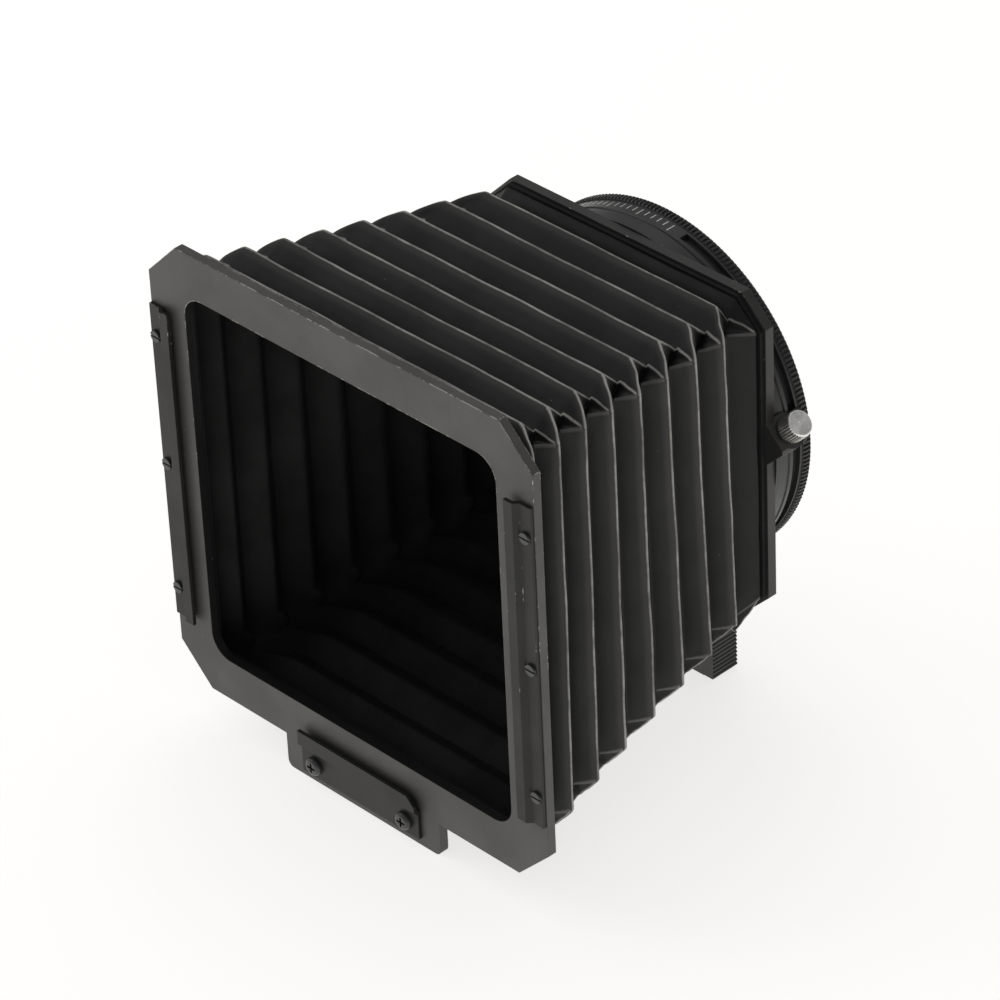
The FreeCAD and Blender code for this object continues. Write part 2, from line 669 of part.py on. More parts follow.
def bayonet_ring():
    """Steel socket for the lens rim, with three lugs at its front end."""
    body = tube(BAYONET_RADIUS, LENS_BORE, -LENS_BORE_LENGTH, -BAYONET_FLANGE_THICK)
    groove = tube(BAYONET_RADIUS, LUG_ROOM, -BAYONET_DEPTH, -LENS_BORE_LENGTH)
    flange = tube(BAYONET_FLANGE, LENS_BORE, -BAYONET_FLANGE_THICK, 0)
    lug_ring = tube(BAYONET_RADIUS, LUG_RADIUS, -BAYONET_DEPTH, -BAYONET_DEPTH + LUG_THICK)
    parts = [body, groove, flange]
    for middle in spokes(3, 90.0):
        reach = 50.0
        near = -BAYONET_DEPTH - 1
        wedge = prism([V(0, near, 0), ring_point(reach, middle - LUG_ANGLE / 2, near),
                       ring_point(reach, middle + LUG_ANGLE / 2, near)], V(0, 4, 0))
        parts.append(lug_ring.common(wedge))
    ring = joined(parts)
    for spot in screw_spots(BAYONET_SCREW_RADIUS, 3, 90.0, 0.0):
        ring = ring.cut(flush_hole(spot, -1, RING_SCREW, 3.0))
    return ring


def bayonet_screws():
    """Three flush screws in the bayonet ring's flange."""
    spots = screw_spots(BAYONET_SCREW_RADIUS, 3, 90.0, 0.0)
    return Part.makeCompound([flush_screw(spot, -1, RING_SCREW, 3.2) for spot in spots])


def retaining_ring():
    """Flat ring on the journal's end, in front of the collar's lip."""
    back = RING_FRONT - JOURNAL_LENGTH
    ring = tube(RETAINER_RADIUS, RING_BORE, back - RETAINER_THICK, back)
    for spot in screw_spots(RETAINER_SCREW_RADIUS, 3, 30.0, back - RETAINER_THICK):
        ring = ring.cut(flush_hole(spot, 1, RING_SCREW, 2.0))
    return ring


def retainer_screws():
    """Three flush screws of the retaining ring."""
    front = RING_FRONT - JOURNAL_LENGTH - RETAINER_THICK
    spots = screw_spots(RETAINER_SCREW_RADIUS, 3, 30.0, front)
    return Part.makeCompound([flush_screw(spot, 1, RING_SCREW, RETAINER_THICK + 2.2) for spot in spots])


# Clamp screw

def clamp_knob():
    """Turned knob with a straight knurl and a bevelled face."""
    root = KNOB_RADIUS - 0.24
    bevel = 0.42
    step = 360.0 / KNOB_TEETH
    corners = []
    for tooth in range(KNOB_TEETH):
        for radius, share in ((KNOB_RADIUS, 0.0), (KNOB_RADIUS, 0.3), (root, 0.5), (root, 0.8)):
            angle = math.radians((tooth + share) * step)
            corners.append(V(radius * math.cos(angle), radius * math.sin(angle), 0))
    knob = prism(corners, V(0, 0, KNOB_LENGTH))
    upper = Part.makeCone(KNOB_RADIUS, KNOB_RADIUS - bevel, bevel, V(0, 0, KNOB_LENGTH - bevel))
    lower = Part.makeCylinder(KNOB_RADIUS, KNOB_LENGTH - bevel)
    knob = knob.common(upper.fuse(lower)).cut(Part.makeCylinder(CLAMP_THREAD + 0.02, 2.0, V(0, 0, -0.5)))
    knob.rotate(V(0, 0, 0), V(0, 1, 0), 45)
    knob.translate(along_clamp(KNOB_GAP))
    return knob


PAD_TIP = journal_depth(JOURNAL_RADIUS + PAD_CLEARANCE)
PAD_TOP = PAD_TIP + PAD_LENGTH
SPIGOT_RADIUS = 0.6
SPIGOT_LENGTH = 1.0


def clamp_screw():
    """Stud of the clamp screw, with a socket for the pad's spigot."""
    stud = clamp_bar(CLAMP_THREAD, PAD_TOP + 0.05, KNOB_GAP + 1.4)
    return stud.cut(clamp_bar(SPIGOT_RADIUS + 0.05, PAD_TOP - 1, PAD_TOP + SPIGOT_LENGTH + 0.2))


def clamp_pad():
    """Pad whose end is hollowed to the journal's curve."""
    pad = clamp_bar(PAD_POINT_RADIUS, PAD_TIP - 3, PAD_TOP)
    pad = pad.fuse(clamp_bar(CLAMP_THREAD - 0.1, PAD_TIP + PAD_POINT_LENGTH, PAD_TOP))
    pad = pad.fuse(clamp_bar(SPIGOT_RADIUS, PAD_TOP - 0.5, PAD_TOP + SPIGOT_LENGTH))
    return pad.cut(disc(JOURNAL_RADIUS + PAD_CLEARANCE, -20, 1)).removeSplitter()


# Guide block and buttons

def guide_block():
    """Block behind the rear foot that guides the slide rail."""
    half = REAR_FOOT_HALF
    block = box(-half, half, REAR_BACK, BLOCK_BACK, FOOT_Z, BLOCK_TOP).cut(rail_channel())
    room = 0.15
    for side, y in ((1, ARM_RIGHT_Y), (-1, ARM_LEFT_Y)):
        y0 = y - ARM_THICK / 2 - room
        y1 = y + ARM_THICK / 2 + room
        far = RAIL_HALF + HOOK_PLAY + HOOK_THICK + BUTTON_TRAVEL + 0.2
        arm_room = box(-far, half + 1, y0, y1, ARM_LOW - room, ARM_TOP + room)
        hook_room = box(-far, -RAIL_HALF, y0, y1, RAIL_TOP - RAIL_THICK - 0.3, ARM_TOP + room)
        pocket = Part.makeCylinder(SPRING_RADIUS + 0.2, 9, V(SPRING_POCKET, SPRING_Y, SPRING_Z), V(1, 0, 0))
        room_shape = arm_room.fuse(hook_room).fuse(pocket)
        block = block.cut(room_shape if side == 1 else mirrored(room_shape))
    for spot in block_screw_spots():
        start = V(spot.x, REAR_BACK - 1, spot.z)
        block = block.cut(Part.makeCylinder(BLOCK_SCREW[1] + SCREW_PLAY, 4.0, start, V(0, 1, 0)))
    return block.removeSplitter()


SPRING_Y = (REAR_BACK + BLOCK_BACK) / 2.0


def guide_block_screws():
    """Two flush screws through the rear foot into the guide block."""
    length = REAR_THICK + 2.8
    return Part.makeCompound([flush_screw(spot, 1, BLOCK_SCREW, length) for spot in block_screw_spots()])


def button():
    """Right button: ribbed end, thin front lip."""
    base = BUTTON_OUTER - RIB_DEPTH
    pitch = (BUTTON_TOP - BUTTON_LOW) / RIBS
    outline = [(BUTTON_INNER, BUTTON_LOW)]
    for rib in range(RIBS):
        low = BUTTON_LOW + rib * pitch
        outline.append((base, low))
        outline.append((BUTTON_OUTER, low + 0.35 * pitch))
        outline.append((BUTTON_OUTER, low + 0.65 * pitch))
    outline.append((base, BUTTON_TOP))
    outline.append((BUTTON_INNER, BUTTON_TOP))
    cap = prism([V(x, REAR_FACE, z) for x, z in outline], V(0, BLOCK_BACK - REAR_FACE, 0))
    lip = box(BUTTON_LIP, BUTTON_INNER + 0.5, REAR_FACE, REAR_FACE + LIP_THICK, BUTTON_LOW, BUTTON_TOP)
    return joined([cap, lip])


def brake_arm(y):
    """Arm of the right button: it crosses over the rail and hooks its left edge."""
    hook_out = -RAIL_HALF - HOOK_PLAY - HOOK_THICK
    y0 = y - ARM_THICK / 2
    y1 = y + ARM_THICK / 2
    bar = box(hook_out, BUTTON_INNER, y0, y1, ARM_LOW, ARM_TOP)
    hook = box(hook_out, hook_out + HOOK_THICK, y0, y1, RAIL_TOP - RAIL_THICK - 0.1, ARM_TOP)
    return joined([bar, hook])


def button_spring():
    """Coil spring between the guide block and the right button."""
    length = BUTTON_INNER - SPRING_POCKET
    pitch = (length - 2.4 * SPRING_WIRE) / SPRING_TURNS
    path = Part.makeHelix(pitch, pitch * SPRING_TURNS, SPRING_RADIUS)
    wire = Part.Wire(Part.makeCircle(SPRING_WIRE, V(SPRING_RADIUS, 0, 0), V(0, 1, 0)))
    coil = Part.Wire(path.Edges).makePipeShell([wire], True, True)
    coil.rotate(V(0, 0, 0), V(0, 1, 0), 90)
    coil.translate(V(SPRING_POCKET + 1.2 * SPRING_WIRE, SPRING_Y, SPRING_Z))
    return coil


NODES = {
    "front_plate": front_plate,
    "mask_rail_right": side_rail,
    "mask_rail_left": lambda: mirrored(side_rail()),
    "mask_rail_bottom": bottom_rail,
    "mask_rail_screws_right": side_screws,
    "mask_rail_screws_left": lambda: mirrored(side_screws()),
    "mask_rail_screws_bottom": bottom_screws,
    "bellows_frame_front": front_frame,
    "slide_rail": slide_rail,
    "rail_stop": rail_stop,
    "rail_stop_screw": stop_screw,
    "bellows": bellows,
    "rear_plate": rear_plate,
    "bellows_frame_rear": rear_frame,
    "rear_frame_screws": rear_frame_screws,
    "neck_collar": collar,
    "collar_screws": collar_screws,
    "stop_pin": stop_pin,
    "guide_block": guide_block,
    "guide_block_screws": guide_block_screws,
    "mount_ring": mount_ring,
    "bayonet_ring": bayonet_ring,
    "bayonet_screws": bayonet_screws,
    "retaining_ring": retaining_ring,
    "retaining_ring_screws": retainer_screws,
    "clamp_knob": clamp_knob,
    "clamp_screw": clamp_screw,
    "clamp_pad": clamp_pad,
    "button_right": button,
    "button_left": lambda: mirrored(button()),
    "brake_arm_right": lambda: brake_arm(ARM_RIGHT_Y),
    "brake_arm_left": lambda: mirrored(brake_arm(ARM_LEFT_Y)),
    "button_spring_right": button_spring,
    "button_spring_left": lambda: mirrored(button_spring()),
}

for node, make in NODES.items():
    write(node, make())
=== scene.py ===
"""Looks of a bellows lens shade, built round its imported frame.

Sizes in the classes are millimetres in the row frame: +Z is up, the front faces -Y, and the origin lies
on the optical axis at the mouth of the lens socket. They become metres on the way into a mesh.
"""

import json
import logging
import math
from dataclasses import dataclass, field
from enum import Enum
from typing import Iterable, Sequence, Union

import bpy
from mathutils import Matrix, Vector, noise


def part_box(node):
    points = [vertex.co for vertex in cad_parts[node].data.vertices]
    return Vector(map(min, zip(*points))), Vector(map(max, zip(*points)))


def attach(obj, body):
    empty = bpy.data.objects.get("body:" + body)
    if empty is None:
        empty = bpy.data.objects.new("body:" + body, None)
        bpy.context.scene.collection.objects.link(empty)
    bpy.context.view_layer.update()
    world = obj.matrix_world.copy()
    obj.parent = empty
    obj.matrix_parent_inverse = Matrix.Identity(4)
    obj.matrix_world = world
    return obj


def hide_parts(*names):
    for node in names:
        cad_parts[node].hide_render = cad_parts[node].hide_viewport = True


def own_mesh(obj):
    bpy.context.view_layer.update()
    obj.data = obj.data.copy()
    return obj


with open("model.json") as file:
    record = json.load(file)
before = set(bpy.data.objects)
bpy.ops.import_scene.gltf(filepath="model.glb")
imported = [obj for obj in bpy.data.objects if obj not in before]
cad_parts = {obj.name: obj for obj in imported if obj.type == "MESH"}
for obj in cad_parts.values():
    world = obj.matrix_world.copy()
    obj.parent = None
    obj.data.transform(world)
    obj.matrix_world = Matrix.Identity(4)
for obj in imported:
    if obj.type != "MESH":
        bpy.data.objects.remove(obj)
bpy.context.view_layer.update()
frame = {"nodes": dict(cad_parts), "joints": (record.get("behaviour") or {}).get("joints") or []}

MM = 0.001

Colour = tuple[float, float, float]
Feed = Union[bpy.types.NodeSocket, float, Sequence[float]]

FLARE_BLACK: Colour = (0.009, 0.009, 0.009)
PALE_DUST: Colour = (0.5, 0.49, 0.46)
CLOTH_DUST: Colour = (0.4, 0.39, 0.37)
SCALE_WHITE: Colour = (0.72, 0.71, 0.68)
FAR_MM = 9.0

log = logging.getLogger("lens_shade")


class Body(Enum):
    """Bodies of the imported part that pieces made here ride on."""

    REAR = "rear_standard"
    CLAMP = "clamp_screw"


class Slot(Enum):
    """Material slots of the record for the pieces made here."""

    CLOTH = "cloth"
    ALUMINIUM = "bare_aluminium"
    SPRING = "spring_steel"


class SocketKind(Enum):
    """Kinds of socket on an effect's node group."""

    VALUE = "NodeSocketFloat"
    VECTOR = "NodeSocketVector"


# Node helpers


class NodeSheet:
    """Adds nodes to one node tree and wires them together."""

    # Sockets of a mix node that is set to colours: share, first and second; and its result.
    MIX_INPUTS = (0, 6, 7)
    MIX_RESULT = 2

    def __init__(self, tree: bpy.types.NodeTree) -> None:
        """Takes the tree that the nodes go into.

        Args:
            tree: A material's tree or a node group.
        """
        self.tree = tree

    def add(self, kind: str, **settings: object) -> bpy.types.Node:
        """Adds one node.

        Args:
            kind: The node's type name.
            settings: Properties to set on it.

        Returns:
            The new node.
        """
        node = self.tree.nodes.new(kind)
        for name, value in settings.items():
            setattr(node, name, value)
        return node

    def feed(self, socket: bpy.types.NodeSocket, value: Feed) -> None:
        """Links a socket to another one, or sets its value.

        Args:
            socket: The input to fill.
            value: An output socket, a number, or a colour or vector.
        """
        if isinstance(value, bpy.types.NodeSocket):
            self.tree.links.new(value, socket)
        elif isinstance(value, (int, float)):
            socket.default_value = value
        else:
            wanted = len(socket.default_value)
            socket.default_value = (*value, 1.0)[:wanted] if wanted == 4 else tuple(value)

    def math(self, operation: str, first: Feed, second: Feed = 0.0,
             clamp: bool = False) -> bpy.types.NodeSocket:
        """Adds a math node.

        Args:
            operation: The node's operation.
            first: Its first input.
            second: Its second input, where the operation has one.
            clamp: Whether the result is held between 0 and 1.

        Returns:
            The result's socket.
        """
        node = self.add("ShaderNodeMath", operation=operation, use_clamp=clamp)
        self.feed(node.inputs[0], first)
        self.feed(node.inputs[1], second)
        return node.outputs[0]

    def band(self, value: Feed, low: float, high: float, start: float = 0.0,
             end: float = 1.0) -> bpy.types.NodeSocket:
        """Maps a value smoothly from low..high to start..end, and holds it at the ends.

        Args:
            value: The value to map.
            low: Where the result is start.
            high: Where the result is end.
            start: The result at and beyond low.
            end: The result at and beyond high.

        Returns:
            The mapped value's socket.
        """
        node = self.add("ShaderNodeMapRange", interpolation_type="SMOOTHSTEP")
        for name, given in (("Value", value), ("From Min", low), ("From Max", high),
                            ("To Min", start), ("To Max", end)):
            self.feed(node.inputs[name], given)
        return node.outputs["Result"]

    def mix(self, share: Feed, first: Feed, second: Feed) -> bpy.types.NodeSocket:
        """Mixes two colours.

        Args:
            share: How much of the second colour there is, 0 to 1.
            first: The first colour.
            second: The second colour.

        Returns:
            The mixed colour's socket.
        """
        node = self.add("ShaderNodeMix", data_type="RGBA", clamp_factor=True)
        for number, given in zip(self.MIX_INPUTS, (share, first, second)):
            self.feed(node.inputs[number], given)
        return node.outputs[self.MIX_RESULT]

    def speckle(self, where: Feed, scale: Feed, detail: float = 3.0,
                roughness: float = 0.55) -> bpy.types.NodeSocket:
        """Adds a noise texture.

        Args:
            where: The place to take the noise at.
            scale: Features per unit of place.
            detail: How many finer layers it has.
            roughness: How strong the finer layers are.

        Returns:
            The noise's socket, with values of about 0.25 to 0.75.
        """
        node = self.add("ShaderNodeTexNoise")
        self.feed(node.inputs["Vector"], where)
        self.feed(node.inputs["Scale"], scale)
        self.feed(node.inputs["Detail"], detail)
        self.feed(node.inputs["Roughness"], roughness)
        return node.outputs[0]

    def bump(self, height: Feed, distance: float, normal: Feed | None = None) -> bpy.types.NodeSocket:
        """Adds a bump node.

        Args:
            height: The height, 0 to 1.
            distance: What a height of 1 is, in metres.
            normal: The normal to start from.

        Returns:
            The bumped normal.
        """
        node = self.add("ShaderNodeBump")
        node.inputs["Strength"].default_value = 1.0
        node.inputs["Distance"].default_value = distance
        self.feed(node.inputs["Height"], height)
        if normal is not None:
            self.feed(node.inputs["Normal"], normal)
        return node.outputs["Normal"]

    def object_place(self) -> bpy.types.NodeSocket:
        """The surface point in the object's own coordinates, in metres."""
        return self.add("ShaderNodeTexCoord").outputs["Object"]

    def effect(self, group: bpy.types.NodeTree, **inputs: Feed) -> bpy.types.Node:
        """Places an effect's node group.

        Args:
            group: The node group.
            inputs: Its inputs by name, with underscores for spaces.

        Returns:
            The group node.
        """
        node = self.add("ShaderNodeGroup")
        node.node_tree = group
        for name, value in inputs.items():
            self.feed(node.inputs[name.replace("_", " ")], value)
        return node


class EffectGroup:
    """A shader node group under construction, with its named sockets."""

    def __init__(self, name: str, inputs: dict[str, tuple[SocketKind, Feed]],
                 outputs: dict[str, SocketKind]) -> None:
        """Makes an empty group.

        Args:
            name: The group's name.
            inputs: Each input's kind and default by its name.
            outputs: Each output's kind by its name.
        """
        self.tree = bpy.data.node_groups.new(name, "ShaderNodeTree")
        for label, (kind, start) in inputs.items():
            socket = self.tree.interface.new_socket(name=label, in_out="INPUT", socket_type=kind.value)
            socket.default_value = start
        for label, kind in outputs.items():
            self.tree.interface.new_socket(name=label, in_out="OUTPUT", socket_type=kind.value)
        self.sheet = NodeSheet(self.tree)
        self._given = self.sheet.add("NodeGroupInput")
        self._result = self.sheet.add("NodeGroupOutput")

    def given(self, name: str) -> bpy.types.NodeSocket:
        """Returns one of the group's inputs."""
        return self._given.outputs[name]

    def give(self, name: str, value: Feed) -> None:
        """Sets one of the group's outputs."""
        self.sheet.feed(self._result.inputs[name], value)


class Effects:
    """Surface effects that several finishes share, each built once as a node group."""

    def __init__(self) -> None:
        """Builds every group."""
        self.edge_wear = self._edge_wear()
        self.grain = self._grain()
        self.dust = self._dust()
        self.weave = self._weave()
        self.fold_line = self._fold_line()
        self.turning = self._turning()
        self.ticks = self._ticks()

    @staticmethod
    def _edge_wear() -> bpy.types.NodeTree:
        """Builds rounded edges, a mask of every edge that the finishes lighten as painted edge highlight, and
        a mask of where their coat is rubbed through in patches.

        Returns:
            The node group.
        """
        group = EffectGroup(
            "Rounded worn edge",
            {"Radius": (SocketKind.VALUE, 0.0002), "Amount": (SocketKind.VALUE, 0.3),
             "Patch Scale": (SocketKind.VALUE, 500.0), "Low": (SocketKind.VALUE, -0.1),
             "High": (SocketKind.VALUE, 0.1)},
            {"Normal": SocketKind.VECTOR, "Worn": SocketKind.VALUE, "Edge": SocketKind.VALUE})
        sheet = group.sheet
        bevel = sheet.add("ShaderNodeBevel", samples=4)
        sheet.feed(bevel.inputs["Radius"], group.given("Radius"))
        facing = sheet.add("ShaderNodeVectorMath", operation="DOT_PRODUCT")
        sheet.feed(facing.inputs[0], bevel.outputs["Normal"])
        sheet.feed(facing.inputs[1], sheet.add("ShaderNodeNewGeometry").outputs["True Normal"])
        turn = sheet.math("SUBTRACT", 1.0, facing.outputs["Value"])
        # The turn is 0 on a flat face and about 0.3 in the middle of a square edge.
        edge = sheet.band(turn, 0.12, 0.3)
        reachable = sheet.band(turn, 0.01, 0.06)
        place = sheet.object_place()
        patches = sheet.speckle(place, group.given("Patch Scale"), 4.0, 0.7)
        run_scale = 90.0
        runs = sheet.speckle(place, run_scale, 1.0)
        height = sheet.add("ShaderNodeSeparateXYZ")
        sheet.feed(height.inputs[0], place)
        rise = sheet.add("ShaderNodeMapRange", clamp=True)
        sheet.feed(rise.inputs["Value"], height.outputs["Z"])
        sheet.feed(rise.inputs["From Min"], group.given("Low"))
        sheet.feed(rise.inputs["From Max"], group.given("High"))
        handled = sheet.math("MULTIPLY", rise.outputs["Result"], group.given("Amount"))
        reach = sheet.math("ADD", patches, sheet.math("MULTIPLY", sheet.math("SUBTRACT", runs, 0.5), 0.5))
        line = sheet.math("ADD", sheet.math("SUBTRACT", reach, 1.0), handled)
        chips = sheet.band(line, 0.0, 0.06)
        group.give("Normal", bevel.outputs["Normal"])
        group.give("Worn", sheet.math("MULTIPLY", chips, reachable, clamp=True))
        group.give("Edge", edge)
        return group.tree

    @staticmethod
    def _grain() -> bpy.types.NodeTree:
        """Builds the fine grain of a coat, and slow changes of its tone.

        Returns:
            The node group.
        """
        group = EffectGroup(
            "Coat grain",
            {"Grain Scale": (SocketKind.VALUE, 4000.0), "Cloud Scale": (SocketKind.VALUE, 60.0)},
            {"Height": SocketKind.VALUE, "Cloud": SocketKind.VALUE})
        sheet = group.sheet
        place = sheet.object_place()
        fine = sheet.speckle(place, group.given("Grain Scale"), 2.0, 0.6)
        cloud = sheet.speckle(place, group.given("Cloud Scale"), 4.0, 0.6)
        group.give("Height", fine)
        group.give("Cloud", sheet.band(cloud, 0.3, 0.7))
        return group.tree

    @staticmethod
    def _dust() -> bpy.types.NodeTree:
        """Builds a mask of scattered pale specks.

        Returns:
            The node group.
        """
        group = EffectGroup(
            "Dust specks",
            {"Scale": (SocketKind.VALUE, 300.0), "Size": (SocketKind.VALUE, 0.04),
             "Share": (SocketKind.VALUE, 0.3)},
            {"Mask": SocketKind.VALUE})
        sheet = group.sheet
        cells = sheet.add("ShaderNodeTexVoronoi")
        sheet.feed(cells.inputs["Vector"], sheet.object_place())
        sheet.feed(cells.inputs["Scale"], group.given("Scale"))
        chance = sheet.add("ShaderNodeSeparateColor")
        sheet.feed(chance.inputs[0], cells.outputs["Color"])
        near = sheet.math("LESS_THAN", cells.outputs["Distance"], group.given("Size"))
        kept = sheet.math("LESS_THAN", chance.outputs[0], group.given("Share"))
        strength = sheet.math("MULTIPLY", chance.outputs[1], kept)
        group.give("Mask", sheet.math("MULTIPLY", near, strength))
        return group.tree

    @staticmethod
    def _weave() -> bpy.types.NodeTree:
        """Builds fine woven threads under a thin coating.

        Returns:
            The node group.
        """
        group = EffectGroup(
            "Coated weave",
            {"Place": (SocketKind.VECTOR, (0.0, 0.0, 0.0)), "Thread": (SocketKind.VALUE, 0.3)},
            {"Height": SocketKind.VALUE})
        sheet = group.sheet
        parts = sheet.add("ShaderNodeSeparateXYZ")
        sheet.feed(parts.inputs[0], group.given("Place"))
        threads = []
        for part in ("X", "Y"):
            turn = sheet.math("DIVIDE", parts.outputs[part], group.given("Thread"))
            threads.append(sheet.math("ABSOLUTE", sheet.math("SINE", sheet.math("MULTIPLY", turn, math.pi))))
        over = sheet.math("MAXIMUM", *threads)
        coat = sheet.speckle(group.given("Place"), 2.2, 3.0)
        group.give("Height", sheet.math("ADD", sheet.math("MULTIPLY", over, 0.35), coat))
        return group.tree

    @staticmethod
    def _fold_line() -> bpy.types.NodeTree:
        """Builds a mask of a pale line along a fold, from the distance to it in millimetres: rubbed wear,
        partly painted highlight.

        Returns:
            The node group.
        """
        group = EffectGroup(
            "Pale fold wear and highlight",
            {"Distance": (SocketKind.VALUE, FAR_MM), "Width": (SocketKind.VALUE, 0.2),
             "Break Scale": (SocketKind.VALUE, 250.0), "Wholeness": (SocketKind.VALUE, 0.8)},
            {"Mask": SocketKind.VALUE})
        sheet = group.sheet
        place = sheet.object_place()
        rough = sheet.speckle(place, group.given("Break Scale"), 4.0, 0.65)
        spread = sheet.math("MULTIPLY", group.given("Width"), sheet.math("ADD", rough, 0.5))
        share = sheet.math("DIVIDE", group.given("Distance"), spread)
        line = sheet.band(share, 1.9, 0.15)
        slow_scale = 70.0
        slow = sheet.speckle(place, slow_scale, 2.0)
        uneven = sheet.math("MULTIPLY", sheet.math("ADD", rough, slow), 0.5)
        runs = sheet.band(sheet.math("ADD", uneven, group.given("Wholeness")), 1.0, 1.35, 0.3, 1.0)
        group.give("Mask", sheet.math("MULTIPLY", line, runs))
        return group.tree

    @staticmethod
    def _turning() -> bpy.types.NodeTree:
        """Builds marks of the lathe round the optical axis.

        Returns:
            The node group.
        """
        group = EffectGroup(
            "Lathe marks",
            {"Pitch": (SocketKind.VALUE, 0.00012)},
            {"Height": SocketKind.VALUE, "Tone": SocketKind.VALUE})
        sheet = group.sheet
        parts = sheet.add("ShaderNodeSeparateXYZ")
        sheet.feed(parts.inputs[0], sheet.object_place())
        square = sheet.math("ADD", sheet.math("MULTIPLY", parts.outputs["X"], parts.outputs["X"]),
                            sheet.math("MULTIPLY", parts.outputs["Z"], parts.outputs["Z"]))
        along = sheet.math("ADD", sheet.math("SQRT", square), parts.outputs["Y"])
        line = sheet.add("ShaderNodeCombineXYZ")
        sheet.feed(line.inputs[0], sheet.math("DIVIDE", along, group.given("Pitch")))
        marks = sheet.speckle(line.outputs[0], 1.0, 2.0)
        wide = sheet.add("ShaderNodeCombineXYZ")
        tone_scale = 900.0
        sheet.feed(wide.inputs[0], sheet.math("MULTIPLY", along, tone_scale))
        group.give("Height", marks)
        group.give("Tone", sheet.speckle(wide.outputs[0], 1.0, 2.0))
        return group.tree

    @staticmethod
    def _ticks() -> bpy.types.NodeTree:
        """Builds a mask of a plain scale of engraved lines round the optical axis.

        Angles are degrees from +X towards +Z. Every fifth line is longer towards the front.

        Returns:
            The node group.
        """
        group = EffectGroup(
            "Engraved scale",
            {"First": (SocketKind.VALUE, 90.0), "Last": (SocketKind.VALUE, 130.0),
             "Step": (SocketKind.VALUE, 2.5), "Line": (SocketKind.VALUE, 0.35),
             "Front": (SocketKind.VALUE, -0.005), "Back": (SocketKind.VALUE, -0.003)},
            {"Mask": SocketKind.VALUE})
        sheet = group.sheet
        shorter = 0.0007
        parts = sheet.add("ShaderNodeSeparateXYZ")
        sheet.feed(parts.inputs[0], sheet.object_place())
        angle = sheet.math("DEGREES", sheet.math("ARCTAN2", parts.outputs["Z"], parts.outputs["X"]))
        from_first = sheet.math("SUBTRACT", angle, group.given("First"))
        nearest = sheet.math("PINGPONG", from_first, sheet.math("MULTIPLY", group.given("Step"), 0.5))
        on_line = sheet.math("LESS_THAN", nearest, sheet.math("MULTIPLY", group.given("Line"), 0.5))
        longer = sheet.math("PINGPONG", from_first, sheet.math("MULTIPLY", group.given("Step"), 2.5))
        is_long = sheet.math("LESS_THAN", longer, group.given("Line"))
        short_front = sheet.math("ADD", group.given("Front"), shorter)
        front = sheet.math("SUBTRACT", short_front, sheet.math("MULTIPLY", is_long, shorter))
        inside = sheet.math("MULTIPLY", sheet.math("GREATER_THAN", parts.outputs["Y"], front),
                            sheet.math("LESS_THAN", parts.outputs["Y"], group.given("Back")))
        margin = 0.3
        started = sheet.math("GREATER_THAN", angle, sheet.math("SUBTRACT", group.given("First"), margin))
        ended = sheet.math("LESS_THAN", angle, group.given("Last"))
        arc = sheet.math("MULTIPLY", started, ended)
        group.give("Mask", sheet.math("MULTIPLY", sheet.math("MULTIPLY", on_line, inside), arc))
        return group.tree


# Finishes


def new_material(name: str) -> tuple[bpy.types.Material, NodeSheet, bpy.types.Node]:
    """Makes a material that holds only a Principled shader.

    Args:
        name: The material's name.

    Returns:
        The material, a sheet for its nodes, and the shader node.
    """
    material = bpy.data.materials.new(name)
    material.use_nodes = True
    tree = material.node_tree
    return material, NodeSheet(tree), next(node for node in tree.nodes if node.type == "BSDF_PRINCIPLED")


